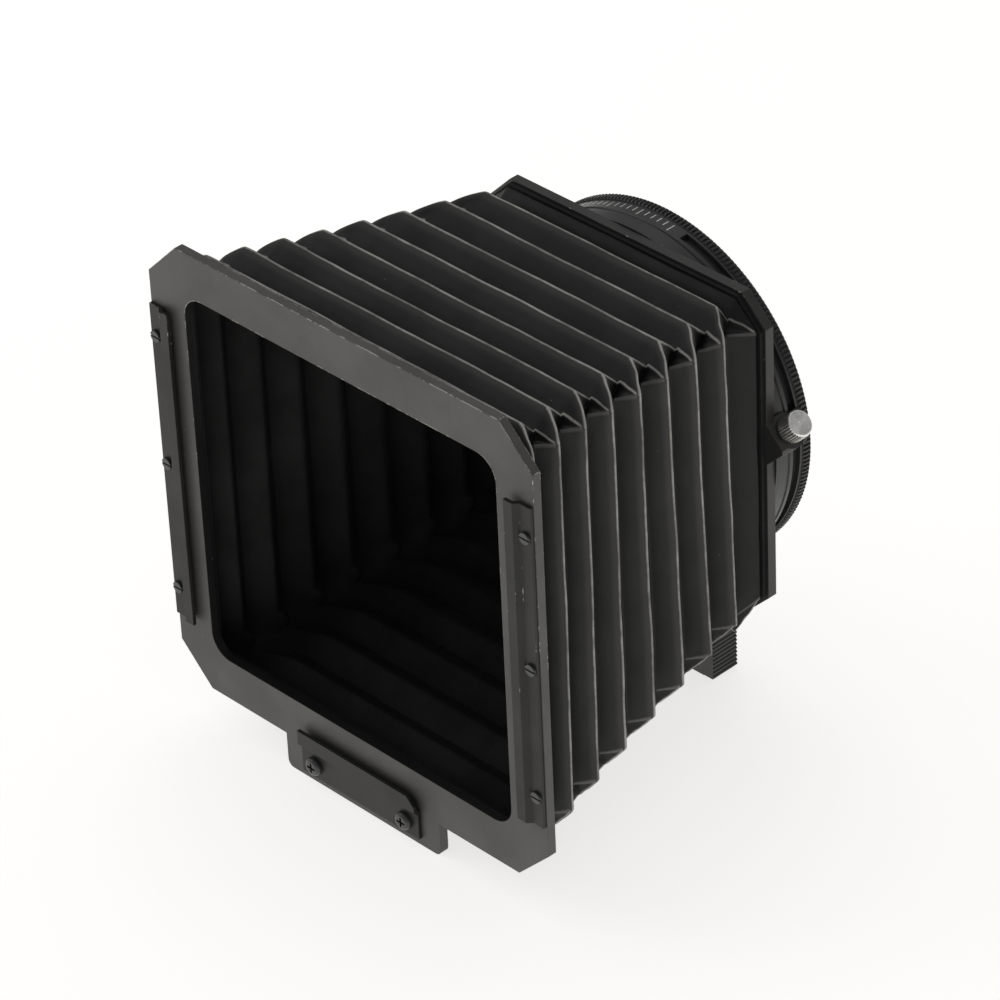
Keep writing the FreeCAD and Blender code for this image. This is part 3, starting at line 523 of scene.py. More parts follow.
@dataclass(frozen=True)
class Paint:
    """Sprayed coat on metal, paler along every edge as worn paint and painted edge highlight, and rubbed
    through to the metal along its edges.
    """

    name: str
    colour: Colour
    roughness: float = 0.45
    cloud: float = 0.25
    grain_scale: float = 3500.0
    grain_height: float = 0.000012
    edge_radius: float = 0.00022
    wear: float = 0.4
    wear_low: float = -0.1
    wear_high: float = 0.06
    under: Colour = (0.62, 0.6, 0.57)
    dust: float = 0.25
    specular: float = 0.5
    window: float = 0.0

    def _in_window(self, sheet: NodeSheet) -> bpy.types.NodeSocket:
        """Masks the faces inside the square window, which are blacked against flare.

        Args:
            sheet: The material's node sheet.

        Returns:
            The mask's socket.
        """
        place = sheet.add("ShaderNodeSeparateXYZ")
        sheet.feed(place.inputs[0], sheet.object_place())
        reach = sheet.math("MAXIMUM", sheet.math("ABSOLUTE", place.outputs["X"]),
                           sheet.math("ABSOLUTE", place.outputs["Z"]))
        facing = sheet.add("ShaderNodeSeparateXYZ")
        sheet.feed(facing.inputs[0], sheet.add("ShaderNodeNewGeometry").outputs["True Normal"])
        inward = sheet.math("LESS_THAN", sheet.math("ABSOLUTE", facing.outputs["Y"]), 0.5)
        return sheet.math("MULTIPLY", sheet.math("LESS_THAN", reach, self.window), inward)

    def material(self, effects: Effects) -> bpy.types.Material:
        """Builds the material.

        Args:
            effects: The shared effects.

        Returns:
            The material.
        """
        material, sheet, shader = new_material(self.name)
        grain = sheet.effect(effects.grain, Grain_Scale=self.grain_scale)
        wear = sheet.effect(effects.edge_wear, Radius=self.edge_radius, Amount=self.wear,
                            Low=self.wear_low, High=self.wear_high)
        dust = sheet.effect(effects.dust, Share=self.dust)
        darker = tuple(part * (1.0 - self.cloud) for part in self.colour)
        coat = sheet.mix(grain.outputs["Cloud"], darker, self.colour)
        # Worn paint and painted edge highlight: every edge is lightened.
        edge_highlight_and_wear = tuple(min(1.0, part * 1.9 + 0.02) for part in self.colour)
        coat = sheet.mix(sheet.math("MULTIPLY", wear.outputs["Edge"], 0.5), coat, edge_highlight_and_wear)
        coat = sheet.mix(wear.outputs["Worn"], coat, self.under)
        if self.window:
            coat = sheet.mix(self._in_window(sheet), coat, FLARE_BLACK)
        sheet.feed(shader.inputs["Base Color"], sheet.mix(dust.outputs["Mask"], coat, PALE_DUST))
        rough = sheet.band(grain.outputs["Cloud"], 0.0, 1.0, self.roughness + 0.06, self.roughness)
        sheet.feed(shader.inputs["Roughness"], rough)
        sheet.feed(shader.inputs["Metallic"], sheet.math("MULTIPLY", wear.outputs["Worn"], 0.8))
        shader.inputs["Specular IOR Level"].default_value = self.specular
        bump = sheet.bump(grain.outputs["Height"], self.grain_height, wear.outputs["Normal"])
        sheet.feed(shader.inputs["Normal"], bump)
        return material


@dataclass(frozen=True)
class Turned:
    """Metal left with the marks of the lathe, bare or black anodised."""

    name: str
    colour: Colour
    metallic: float = 1.0
    roughness: float = 0.3
    mark_pitch: float = 0.00012
    mark_height: float = 0.000004
    edge_radius: float = 0.00012
    wear: float = 0.2
    under: Colour = (0.7, 0.69, 0.67)
    scale_lines: tuple[float, float] | None = None
    scale_span: tuple[float, float] = (-0.0052, -0.0029)

    def material(self, effects: Effects) -> bpy.types.Material:
        """Builds the material.

        Args:
            effects: The shared effects.

        Returns:
            The material.
        """
        material, sheet, shader = new_material(self.name)
        turning = sheet.effect(effects.turning, Pitch=self.mark_pitch)
        wear = sheet.effect(effects.edge_wear, Radius=self.edge_radius, Amount=self.wear, Patch_Scale=700.0)
        paler = tuple(min(1.0, part * 1.35) for part in self.colour)
        coat = sheet.mix(turning.outputs["Tone"], self.colour, paler)
        coat = sheet.mix(wear.outputs["Worn"], coat, self.under)
        height = turning.outputs["Height"]
        metallic: Feed = self.metallic
        if self.scale_lines:
            first, last = self.scale_lines
            front, back = self.scale_span
            ticks = sheet.effect(effects.ticks, First=first, Last=last, Front=front, Back=back)
            coat = sheet.mix(ticks.outputs["Mask"], coat, SCALE_WHITE)
            height = sheet.math("SUBTRACT", height, sheet.math("MULTIPLY", ticks.outputs["Mask"], 4.0))
        if self.metallic < 1.0:
            metallic = sheet.math("MAXIMUM", wear.outputs["Worn"], self.metallic)
        sheet.feed(shader.inputs["Base Color"], coat)
        sheet.feed(shader.inputs["Metallic"], metallic)
        rough = sheet.band(turning.outputs["Tone"], 0.3, 0.7, self.roughness - 0.05, self.roughness + 0.08)
        sheet.feed(shader.inputs["Roughness"], rough)
        sheet.feed(shader.inputs["Normal"], sheet.bump(height, self.mark_height, wear.outputs["Normal"]))
        return material


@dataclass(frozen=True)
class TurnedFace:
    """Bright metal faced off on a lathe about the object's own Z axis, with a streak of light across it."""

    name: str
    colour: Colour
    roughness: float = 0.34
    streak: float = 0.9

    def material(self, effects: Effects) -> bpy.types.Material:
        """Builds the material.

        Args:
            effects: The shared effects.

        Returns:
            The material.
        """
        material, sheet, shader = new_material(self.name)
        grain = sheet.effect(effects.grain, Grain_Scale=6000.0, Cloud_Scale=900.0)
        darker = tuple(part * 0.8 for part in self.colour)
        sheet.feed(shader.inputs["Base Color"], sheet.mix(grain.outputs["Cloud"], darker, self.colour))
        shader.inputs["Metallic"].default_value = 1.0
        rough = sheet.band(grain.outputs["Cloud"], 0.0, 1.0, self.roughness + 0.08, self.roughness)
        sheet.feed(shader.inputs["Roughness"], rough)
        shader.inputs["Anisotropic"].default_value = self.streak
        tangent = sheet.add("ShaderNodeTangent", direction_type="RADIAL", axis="Z")
        sheet.feed(shader.inputs["Tangent"], tangent.outputs[0])
        return material


@dataclass(frozen=True)
class FoldedCloth:
    """Coated cloth of the bellows: fine weave, with pale lines along its folds that are rubbed wear and
    partly painted highlight, a painted sheen before each outer fold and painted shade towards each inner
    fold.
    """

    name: str
    colour: Colour
    rubbed: Colour = (0.46, 0.45, 0.43)
    roughness: float = 0.46
    thread: float = 0.35
    weave_height: float = 0.00003
    dust: float = 0.12
    specular: float = 0.3
    soft_highlight_share: float = 0.22
    valley_shade_mm: tuple[float, float] = (1.5, 5.6)
    ridge_sheen_mm: tuple[float, float] = (2.4, 0.2)
    ridge_sheen_share: float = 0.07

    def material(self, effects: Effects) -> bpy.types.Material:
        """Builds the material.

        Args:
            effects: The shared effects.

        Returns:
            The material.
        """
        material, sheet, shader = new_material(self.name)
        place = sheet.add("ShaderNodeUVMap", uv_map=Bellows.CLOTH_MAP).outputs[0]
        weave = sheet.effect(effects.weave, Place=place, Thread=self.thread)
        grain = sheet.effect(effects.grain, Grain_Scale=1800.0, Cloud_Scale=70.0)
        # Pale fold lines: rubbed wear, partly painted highlight.
        masks = []
        for name, width, wholeness in Bellows.LINES:
            distance = sheet.add("ShaderNodeAttribute", attribute_name=name).outputs["Fac"]
            line = sheet.effect(effects.fold_line, Distance=distance, Width=width, Wholeness=wholeness)
            masks.append(line.outputs["Mask"])
        # The last line, where each corner meets the side panel, is painted highlight at a fraction of full
        # strength.
        rubbed = sheet.math("MULTIPLY", masks.pop(), self.soft_highlight_share)
        for mask in masks:
            rubbed = sheet.math("MAXIMUM", rubbed, mask)
        darker = tuple(part * 0.7 for part in self.colour)
        coat = sheet.mix(grain.outputs["Cloud"], darker, self.colour)
        from_fold = sheet.add("ShaderNodeAttribute", attribute_name=Bellows.LINES[0][0]).outputs["Fac"]
        # Painted shade: the cloth darkens towards each inner fold, by its distance from the outer fold.
        valley_shade = tuple(part * 0.45 for part in self.colour)
        coat = sheet.mix(sheet.band(from_fold, *self.valley_shade_mm), coat, valley_shade)
        # Painted sheen: a broad band before each outer fold is lightened towards the pale fold colour.
        handled = sheet.band(from_fold, *self.ridge_sheen_mm, 0.0, self.ridge_sheen_share)
        coat = sheet.mix(handled, coat, self.rubbed)
        coat = sheet.mix(rubbed, coat, self.rubbed)
        dust = sheet.effect(effects.dust, Scale=330.0, Size=0.035, Share=self.dust)
        sheet.feed(shader.inputs["Base Color"], sheet.mix(dust.outputs["Mask"], coat, CLOTH_DUST))
        rough = sheet.band(grain.outputs["Cloud"], 0.0, 1.0, self.roughness + 0.08, self.roughness)
        sheet.feed(shader.inputs["Roughness"], sheet.math("ADD", rough, sheet.math("MULTIPLY", rubbed, 0.15)))
        shader.inputs["Specular IOR Level"].default_value = self.specular
        sheet.feed(shader.inputs["Normal"], sheet.bump(weave.outputs["Height"], self.weave_height))
        return material


@dataclass(frozen=True)
class DeadBlack:
    """Matt lining or moulded black, with a fine tooth and a painted highlight along its edges."""

    name: str
    colour: Colour
    roughness: float = 0.85
    tooth_scale: float = 2500.0
    tooth_height: float = 0.00003
    specular: float = 0.3
    edge_radius: float = 0.00015

    def material(self, effects: Effects) -> bpy.types.Material:
        """Builds the material.

        Args:
            effects: The shared effects.

        Returns:
            The material.
        """
        material, sheet, shader = new_material(self.name)
        grain = sheet.effect(effects.grain, Grain_Scale=self.tooth_scale)
        wear = sheet.effect(effects.edge_wear, Radius=self.edge_radius, Amount=0.0)
        darker = tuple(part * 0.6 for part in self.colour)
        # Painted edge highlight: every edge is made paler.
        paler = tuple(part * 1.8 for part in self.colour)
        coat = sheet.mix(grain.outputs["Cloud"], darker, self.colour)
        sheet.feed(shader.inputs["Base Color"], sheet.mix(wear.outputs["Edge"], coat, paler))
        rough = sheet.band(grain.outputs["Cloud"], 0.0, 1.0, self.roughness, self.roughness - 0.08)
        sheet.feed(shader.inputs["Roughness"], rough)
        shader.inputs["Specular IOR Level"].default_value = self.specular
        bump = sheet.bump(grain.outputs["Height"], self.tooth_height, wear.outputs["Normal"])
        sheet.feed(shader.inputs["Normal"], bump)
        return material


class Finishes(Enum):
    """Every finish on the shade."""

    FRONT = Paint("Front plate satin paint", (0.08, 0.077, 0.072), wear=0.56, edge_radius=0.0003,
                  window=0.0429)
    RAIL = Paint("Mask rail satin paint", (0.024, 0.0232, 0.0217), roughness=0.42, wear=0.5, specular=0.3)
    REAR = Paint("Rear plate satin paint", (0.03, 0.029, 0.028), wear=0.45)
    BLOCK = Paint("Guide block paint", (0.03, 0.03, 0.029), roughness=0.5, wear=0.3)
    FRAME = DeadBlack("Bellows frame matt black", (0.011, 0.011, 0.011))
    SCREW = Paint("Blackened screw", (0.03, 0.03, 0.03), roughness=0.3, wear=0.3, edge_radius=0.0001,
                  dust=0.0, specular=0.7)
    RING = Turned("Mount ring black anodised", (0.028, 0.028, 0.028), metallic=0.15, roughness=0.33,
                  wear=0.35, scale_lines=(82.0, 127.0))
    COLLAR = Turned("Collar black anodised", (0.026, 0.026, 0.026), metallic=0.15, roughness=0.36)
    BRIGHT = Turned("Bright turned steel", (0.56, 0.55, 0.54), roughness=0.26)
    RAIL_STEEL = Turned("Slide rail steel", (0.44, 0.44, 0.43), roughness=0.34)
    BRASS = Turned("Brass pad", (0.62, 0.46, 0.2), roughness=0.3)
    SPRING = Turned("Spring wire", (0.58, 0.58, 0.57), roughness=0.25, edge_radius=0.00003)
    # Painted shade: the knurled side is a darker copy of the aluminium of the turned face.
    KNOB_SIDE = Turned("Knob knurled aluminium", (0.66, 0.65, 0.62), roughness=0.36, edge_radius=0.00004)
    KNOB_FACE = TurnedFace("Knob turned face", (0.93, 0.92, 0.89))
    CLOTH = FoldedCloth("Bellows coated cloth", (0.0105, 0.0102, 0.01))
    LINING = DeadBlack("Bellows lining", (0.017, 0.017, 0.017), roughness=0.9, tooth_scale=1600.0,
                       specular=0.25)
    BUTTON = DeadBlack("Ribbed black button", (0.032, 0.032, 0.031), roughness=0.5, tooth_height=0.00001,
                       specular=0.5)


class Palette:
    """Builds each finish's material the first time it is asked for."""

    def __init__(self, effects: Effects) -> None:
        """Takes the shared effects."""
        self._effects = effects
        self._made: dict[Finishes, bpy.types.Material] = {}

    def __getitem__(self, finish: Finishes) -> bpy.types.Material:
        """Finds the material of one finish.

        Args:
            finish: The finish.

        Returns:
            Its material, built on the first call.
        """
        if finish not in self._made:
            self._made[finish] = finish.value.material(self._effects)
        return self._made[finish]


# Mesh helpers


def mesh_object(name: str, points: Iterable[Vector], faces: Sequence[Sequence[int]],
                materials: Sequence[bpy.types.Material]) -> bpy.types.Object:
    """Makes a smooth-shaded mesh object.

    Args:
        name: The object's name.
        points: Vertices in millimetres.
        faces: Vertex numbers of each face.
        materials: Its material slots.

    Returns:
        The new object, linked to the scene.
    """
    mesh = bpy.data.meshes.new(name)
    mesh.from_pydata([tuple(point * MM) for point in points], [], faces)
    mesh.shade_smooth()
    for material in materials:
        mesh.materials.append(material)
    thing = bpy.data.objects.new(name, mesh)
    bpy.context.scene.collection.objects.link(thing)
    return thing


def ring_faces(rings: int, count: int) -> list[tuple[int, ...]]:
    """Joins rings of points, each to the next.

    Args:
        rings: How many rings there are.
        count: How many points each has.

    Returns:
        The vertex numbers of each face.
    """
    faces: list[tuple[int, ...]] = []
    for ring in range(rings - 1):
        low, high = ring * count, (ring + 1) * count
        for k in range(count):
            nxt = (k + 1) % count
            faces.append((low + k, low + nxt, high + nxt, high + k))
    return faces


def dress(nodes: Iterable[str], material: bpy.types.Material) -> list[str]:
    """Gives CAD nodes a finish.

    Args:
        nodes: The nodes' names.
        material: The finish.

    Returns:
        The names, for the report.
    """
    done = []
    for name in nodes:
        thing = frame["nodes"][name]
        for slot in thing.material_slots:
            slot.material = material
        done.append(name)
    return done


def wobble(point: Vector, scale: float = 1.0, shift: tuple[float, float, float] = (0.0, 0.0, 0.0)) -> float:
    """Takes smooth noise at a point.

    Args:
        point: The point in millimetres.
        scale: Features per millimetre.
        shift: Moves the noise, so that each use differs.

    Returns:
        The noise, about -0.5 to 0.5.
    """
    return noise.noise(point * scale + Vector(shift))


def joint_record(name: str) -> dict:
    """Returns the frame's record of one joint."""
    return next(joint for joint in frame["joints"] if joint["name"] == name)


def smoothstep(value: float) -> float:
    """Maps 0..1 to 0..1 with level ends.

    Args:
        value: The value, held to 0..1 first.

    Returns:
        The eased value.
    """
    value = min(1.0, max(0.0, value))
    return value * value * (3.0 - 2.0 * value)


# Sub-assemblies

Rows = list[list[Vector]]
Tags = list[list[dict[str, float]]]


class Side(Enum):
    """Stretches of a fold line, in order round the bellows as seen from the front."""

    TOP = ("level", -1, 1, 1, 1)
    TOP_RIGHT = ("corner", 1, 1, 1, 1)
    RIGHT = ("upright", 1, 1, 1, -1)
    BOTTOM_RIGHT = ("corner", 1, -1, 1, -1)
    BOTTOM = ("level", 1, -1, -1, -1)
    BOTTOM_LEFT = ("corner", -1, -1, -1, -1)
    LEFT = ("upright", -1, -1, -1, 1)
    TOP_LEFT = ("corner", -1, 1, -1, 1)

    @property
    def kind(self) -> str:
        """Returns whether it is a level side, an upright side or a corner."""
        return self.value[0]

    @property
    def begins(self) -> tuple[int, int]:
        """Returns the signs of x and z at its first end."""
        return self.value[1], self.value[2]

    @property
    def ends(self) -> tuple[int, int]:
        """Returns the signs of x and z at its last end."""
        return self.value[3], self.value[4]

    @property
    def level_first(self) -> bool:
        """Returns, for a corner, whether its first end is on the level side."""
        return self in (Side.TOP_RIGHT, Side.BOTTOM_LEFT)

    @property
    def is_corner(self) -> bool:
        """Returns whether it is a corner."""
        return self.kind == "corner"

    @property
    def outward(self) -> Vector:
        """Returns the direction away from the optical axis."""
        return Vector((self.begins[0] + self.ends[0], 0.0, self.begins[1] + self.ends[1])).normalized()


@dataclass(frozen=True)
class Column:
    """One lengthwise line on the bellows: where it lies round a fold line."""

    side: Side
    share: float

    @property
    def across(self) -> float:
        """Returns, for a corner, 0 at the level side and 1 at the upright side."""
        return self.share if self.side.level_first else 1.0 - self.share


@dataclass(frozen=True)
class FoldLine:
    """One fold all the way round: its half-width, its corner cuts and its position on each side."""

    CORNER_HANG_SHARE = 0.16

    half: float
    level_cut: float
    upright_cut: float
    level_y: float
    upright_y: float
    lower_slip: float
    ridge: bool
    bow: float = 0.0
    drop: float = 0.0
    lower_level: tuple[float, float] = (0.0, 0.0)
    lift: float = 0.0

    def level_end(self, sx: int, sz: int) -> Vector:
        """Finds a corner's end on the top or bottom side.

        Args:
            sx: The sign of x at the corner.
            sz: The sign of z at the corner.

        Returns:
            The point in millimetres.
        """
        if sz > 0:
            return Vector((sx * (self.half - self.level_cut), self.level_y, self.half))
        less_cut, forward = self.lower_level
        return Vector((sx * (self.half - self.level_cut + less_cut), self.level_y - forward,
                       -self.half - self.drop - self.lift))

    def upright_end(self, sx: int, sz: int) -> Vector:
        """Finds a corner's end on the left or right side.

        Args:
            sx: The sign of x at the corner.
            sz: The sign of z at the corner.

        Returns:
            The point in millimetres.
        """
        if sz > 0:
            return Vector((sx * self.half, self.upright_y, self.half - self.upright_cut))
        return Vector((sx * self.half, self.upright_y + self.lower_slip,
                       -self.half + self.upright_cut - self.drop))

    def point(self, column: Column) -> Vector:
        """Finds where a lengthwise line crosses this fold.

        Args:
            column: The lengthwise line.

        Returns:
            The point in millimetres.
        """
        side = column.side
        if side.kind == "level":
            place = self.level_end(*side.begins).lerp(self.level_end(*side.ends), column.share)
            if side is Side.BOTTOM:
                inset = smoothstep(min(column.share, 1.0 - column.share) / self.CORNER_HANG_SHARE)
                place += Vector((0.0, self.lower_level[1], self.lift)) * inset
            return place
        if side.kind == "upright":
            return self.upright_end(*side.begins).lerp(self.upright_end(*side.ends), column.share)
        place = self.level_end(*side.begins).lerp(self.upright_end(*side.begins), column.across)
        return place + side.outward * self.bow * 4.0 * column.across * (1.0 - column.across)


@dataclass
class Bellows:
    """Folded cloth between the front and the rear frame."""

    folds: int = 8
    first_ridge: float = 5.7
    pitch: float = 8.2
    pitch_growth: float = 0.1
    first_stagger: float = 1.0
    stagger_growth: float = 0.21
    first_half: float = 48.5
    taper: float = 1.45
    depth: float = 4.2
    front_half: float = 44.6
    rear_half: float = 37.0
    cloth: float = 0.45
    ridge_lead: float = 0.85
    crease: float = 0.34
    bulge: float = 0.3
    hollow: float = 1.3
    ridge_bow: float = 0.35
    first_drop: float = 1.1
    drop_change: float = -0.37
    corner_hang: float = 3.8
    soft_passes: int = 5
    corner_mm: float = 5.6
    swell: float = 0.2
    swell_width: float = 0.9
    level_steps: int = 44
    corner_steps: int = 16
    panel_steps: int = 16
    lower_slip: float = 1.7
    crumple: float = 0.3
    ripple: float = 0.1
    level_cut: float = 5.3
    level_cut_growth: float = 0.2
    upright_cut: float = 5.0
    upright_cut_loss: float = 0.18
    valley_level_cut: float = 1.5
    valley_upright_cut: float = 1.3
    valley_lag: float = 0.15
    valley_overhang: float = 0.7
    valley_lower_level: tuple[float, float] = (1.2, 1.0)
    late_slip: tuple[float, float, float] = (1.1, 0.35, 0.9)
    last_upright_gap: float = 0.8
    last_lower_rise: float = 4.5
    bulge_edge: float = 0.08
    long_wave: float = 0.055
    short_wave: float = 0.16
    pucker_wave: float = 0.55
    wander_wave: float = 0.33
    edge_wave: float = 0.4
    edge_width: float = 0.05
    sway: float = 0.4
    front_cut: float = 2.0
    rear_cut: float = 5.8
    frame_overlap: float = 0.12
    crowding: float = 0.09
    lines: list[FoldLine] = field(default_factory=list)

    CLOTH_MAP = "cloth"
    # Each pale fold line's distance attribute, half-width in millimetres and wholeness. The ridge, corner and
    # crease lines are rubbed wear, partly painted highlight; the soft line is painted highlight.
    LINES = (("ridge_mm", 0.15, 0.68), ("corner_mm", 0.24, 0.78), ("crease_mm", 0.16, 0.7),
             ("soft_highlight_mm", 0.5, 0.8))
    ROUND_SHARES = (0.17, 0.33, 0.5, 0.67, 0.83)
    PROBE = Column(Side.TOP, 0.5)

    def __post_init__(self) -> None:
        """Finds the cloth's ends from the two frames and lays out the fold lines."""
        self.front_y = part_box("bellows_frame_front")[1].y / MM
        self.rear_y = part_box("bellows_frame_rear")[0].y / MM
        self.face_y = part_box("front_plate")[0].y / MM
        first_y = self.front_y - self.frame_overlap
        self.lines = [FoldLine(self.front_half, self.front_cut, self.front_cut, first_y, first_y, 0.0, False)]
        for fold in range(self.folds):
            self.lines.append(self._ridge(fold))
            after = self._ridge(fold + 1) if fold + 1 < self.folds else None
            self.lines.append(self._valley(fold, after))
        self.lines.append(FoldLine(self.rear_half, self.rear_cut, self.rear_cut,
                                   self.rear_y + self.frame_overlap, self.rear_y + 0.05, 0.0, False))

    def _ridge(self, fold: int) -> FoldLine:
        """Lays out one outer fold.

        Args:
            fold: Its number, counted from the front.

        Returns:
            The fold.
        """
        middle = self.face_y + self.first_ridge + self.pitch * fold + self.pitch_growth * fold * fold
        stagger = self.first_stagger + self.stagger_growth * fold
        slip = self.lower_slip * math.sin(math.pi * (fold - 1.6) / self.folds) ** 2 if fold else 0.0
        most, growth, delay = self.late_slip
        slip += min(most, growth * fold - delay) if fold else 0.0
        return FoldLine(self.first_half - self.taper * fold, self.level_cut + self.level_cut_growth * fold,
                        self.upright_cut - self.upright_cut_loss * fold, middle + stagger, middle - stagger,
                        slip, True, self.ridge_bow, self._drop(fold))

    def _drop(self, fold: float) -> float:
        """Returns how much lower the bottom lies than the top lies high. It lessens towards the rear."""
        return self.first_drop + self.drop_change * fold

    def _valley(self, fold: int, after: FoldLine | None) -> FoldLine:
        """Lays out the inner fold behind one outer fold.

        Args:
            fold: The outer fold's number.
            after: The next outer fold, or None at the rear.

        Returns:
            The inner fold.
        """
        ridge = self._ridge(fold)
        behind_level = after.level_y if after else self.rear_y
        behind_upright = after.upright_y if after else self.rear_y - self.last_upright_gap
        slip = (ridge.lower_slip + after.lower_slip) / 2.0 if after else ridge.lower_slip / 2.0
        half = ridge.half - self.taper / 2.0 - self.depth
        lower_end = self._drop(fold) - ridge.half + self.last_lower_rise
        if after:
            lower_end = after.upright_end(1, -1).z
        upper_end = half - self.valley_upright_cut
        drop = -lower_end + self.valley_overhang - upper_end
        lift = self.corner_hang + upper_end - half
        level_y = (ridge.level_y + behind_level) / 2.0 + self.valley_lag
        upright_y = (ridge.upright_y + behind_upright) / 2.0 + self.valley_lag
        return FoldLine(half, self.valley_level_cut, self.valley_upright_cut, level_y, upright_y, slip, False,
                        -self.hollow, drop, self.valley_lower_level, lift)

    def _columns(self) -> list[Column]:
        """Lists every lengthwise line, round the whole bellows, closer together beside the corners.

        Returns:
            The lines in order.
        """
        columns = []
        for side in Side:
            steps = self.corner_steps if side.is_corner else self.level_steps
            for k in range(steps):
                share = k / steps
                if not side.is_corner:
                    share -= self.crowding * math.sin(2.0 * math.pi * share)
                columns.append(Column(side, share))
        return columns

    def _panel_point(self, number: int, column: Column, share: float, trims: tuple[float, float]) -> Vector:
        """A point on the panel between two fold lines.

        Args:
            number: The panel's number, which is its first fold line's.
            column: The lengthwise line.
            share: 0 to 1 from the panel's first rounded end to its last.
            trims: How much of the panel its two rounded ends take, as shares.

        Returns:
            The point in millimetres.
        """
        front, back = self.lines[number], self.lines[number + 1]
        place = trims[0] + (1.0 - trims[0] - trims[1]) * share
        opening = not front.ridge
        if not column.side.is_corner or not opening:
            flat = front.point(column).lerp(back.point(column), place)
            if opening:
                edge = min(column.share, 1.0 - column.share)
                height = self.bulge * smoothstep(edge / self.bulge_edge) * math.sin(math.pi * share)
                flat += column.side.outward * height
            return flat
        level = Column(column.side, 0.0 if column.side.level_first else 1.0)
        upright = Column(column.side, 1.0 if column.side.level_first else 0.0)
        near_level = front.point(level).lerp(back.point(level), trims[0])
        far_level = front.point(level).lerp(back.point(level), 1.0 - trims[1])
        near_upright = front.point(upright).lerp(back.point(upright), trims[0])
        far_upright = front.point(upright).lerp(back.point(upright), 1.0 - trims[1])
        across = column.across
        shared = min(across, share)
        flat = near_level + shared * (far_upright - near_level)
        flat += max(across - share, 0.0) * (near_upright - near_level)
        flat += max(share - across, 0.0) * (far_level - near_level)
        proud = back.bow * 4.0 * across * (1.0 - across) * share ** 3
        away = (1.0 - across) * max(across - share, 0.0)
        spread = max(1.0 - share, 0.001)
        sunk = front.bow * 4.0 * away / spread ** 1.2
        swell = self.bulge * 4.0 * shared * (1.0 - shared) * (1.0 - abs(across - share))
        return flat + column.side.outward * (proud + sunk + swell)

    def _trims(self, number: int) -> tuple[float, float]:
        """Finds how much of a panel its two rounded ends take.

        Args:
            number: The panel's number.

        Returns:
            The first and last end's shares of the panel.
        """
        length = self._panel_length(number)
        last = self.ridge_lead if self.lines[number + 1].ridge else self.crease
        return self.crease / length, last / length

    def _panel_length(self, number: int) -> float:
        """Returns how far it is from a panel's first fold line to its last, in the middle of the top."""
        return (self.lines[number + 1].point(self.PROBE) - self.lines[number].point(self.PROBE)).length

    def _shaken(self, point: Vector, column: Column, opening: bool, share: float) -> Vector:
        """Moves a point a little, as handled cloth lies.

        It is crumpled in the corners and faintly rippled elsewhere.

        Args:
            point: The point in millimetres.
            column: Its lengthwise line.
            opening: Whether its panel opens towards the rear.
            share: 0 to 1 along the panel.

        Returns:
            The moved point.
        """
        side = column.side
        out = side.outward
        rearward = Vector((0.0, 1.0, 0.0))
        slow = wobble(point, self.long_wave) * 0.5
        slow += wobble(point, self.short_wave, (7.0, 1.0, 3.0)) * 0.25
        moved = point + out * self.ripple * slow * 2.0 + rearward * slow * self.sway
        if side.is_corner:
            across = column.across
            inside = math.sin(math.pi * across) ** 0.6 * math.sin(math.pi * min(1.0, max(0.0, share))) ** 0.7
            amount = self.crumple * inside * (0.4 if opening else 1.0)
            stretched = Vector((point.x * 0.75, point.y * 0.5, point.z * 0.75))
            folds = wobble(stretched, shift=(3.0, 5.0, 1.0))
            sharp = 1.0 - 2.0 * abs(wobble(point, self.pucker_wave, (11.0, 2.0, 9.0)))
            moved += out * amount * (folds * 1.2 + (sharp - 0.6) * 1.1)
            moved += out * self._fold_swell(across * self.corner_mm, across - share, opening, share)
            wander = wobble(point, self.wander_wave, (1.0, 8.0, 4.0)) * math.sin(math.pi * across)
            moved += rearward * wander * 0.5
        else:
            edge = min(column.share, 1.0 - column.share)
            close = math.exp(-edge / self.edge_width)
            if side.kind == "level":
                swell = self._fold_swell(edge * 2.0 * self.first_half, 0.0, opening, share)
                moved += out * swell * (1.0 - share * opening)
            ripples = close * wobble(point, self.edge_wave) * math.sin(math.pi * share)
            moved += out * self.ripple * ripples * 2.0
        return moved

    def _fold_swell(self, run: float, aside: float, opening: bool, share: float) -> float:
        """Finds how far the fold from a ridge's end to the next ridge stands proud, round the valley's end.

        Args:
            run: Distance from the level side's end, in millimetres.
            aside: Distance from an opening panel's crease, as a share of the corner.
            opening: Whether the panel opens towards the rear.
            share: 0 to 1 along the panel.

        Returns:
            The height in millimetres.
        """
        if not opening:
            height = self.swell * math.exp(-(run / self.swell_width) ** 2)
            return height * math.sin(math.pi / 2.0 * share) ** 0.7
        return self.swell * math.exp(-(aside * self.corner_mm / self.swell_width) ** 2) * (1.0 - share) ** 2

    def _rows(self, columns: list[Column]) -> tuple[Rows, Tags, list[bool]]:
        """Finds the points of every row across the columns, front to rear.

        Args:
            columns: The lengthwise lines.

        Returns:
            The rows of points, the rows of distances to the fold lines, and for each row whether the strip
            after it lies on an opening panel.
        """
        rows, tags, opening_rows = [], [], []
        panels = len(self.lines) - 1
        for number in range(panels):
            length = self._panel_length(number)
            trims = self._trims(number)
            opening = not self.lines[number].ridge
            for step in range(self.panel_steps + 1):
                share = step / self.panel_steps
                rows.append([self._shaken(self._panel_point(number, c, share, trims), c, opening, share)
                             for c in columns])
                tags.append([self._distances(c, share, length, number) for c in columns])
                opening_rows.append(opening and step < self.panel_steps)
            if number + 1 < panels:
                self._round_fold(number, columns, rows, tags, opening_rows)
        return rows, tags, opening_rows

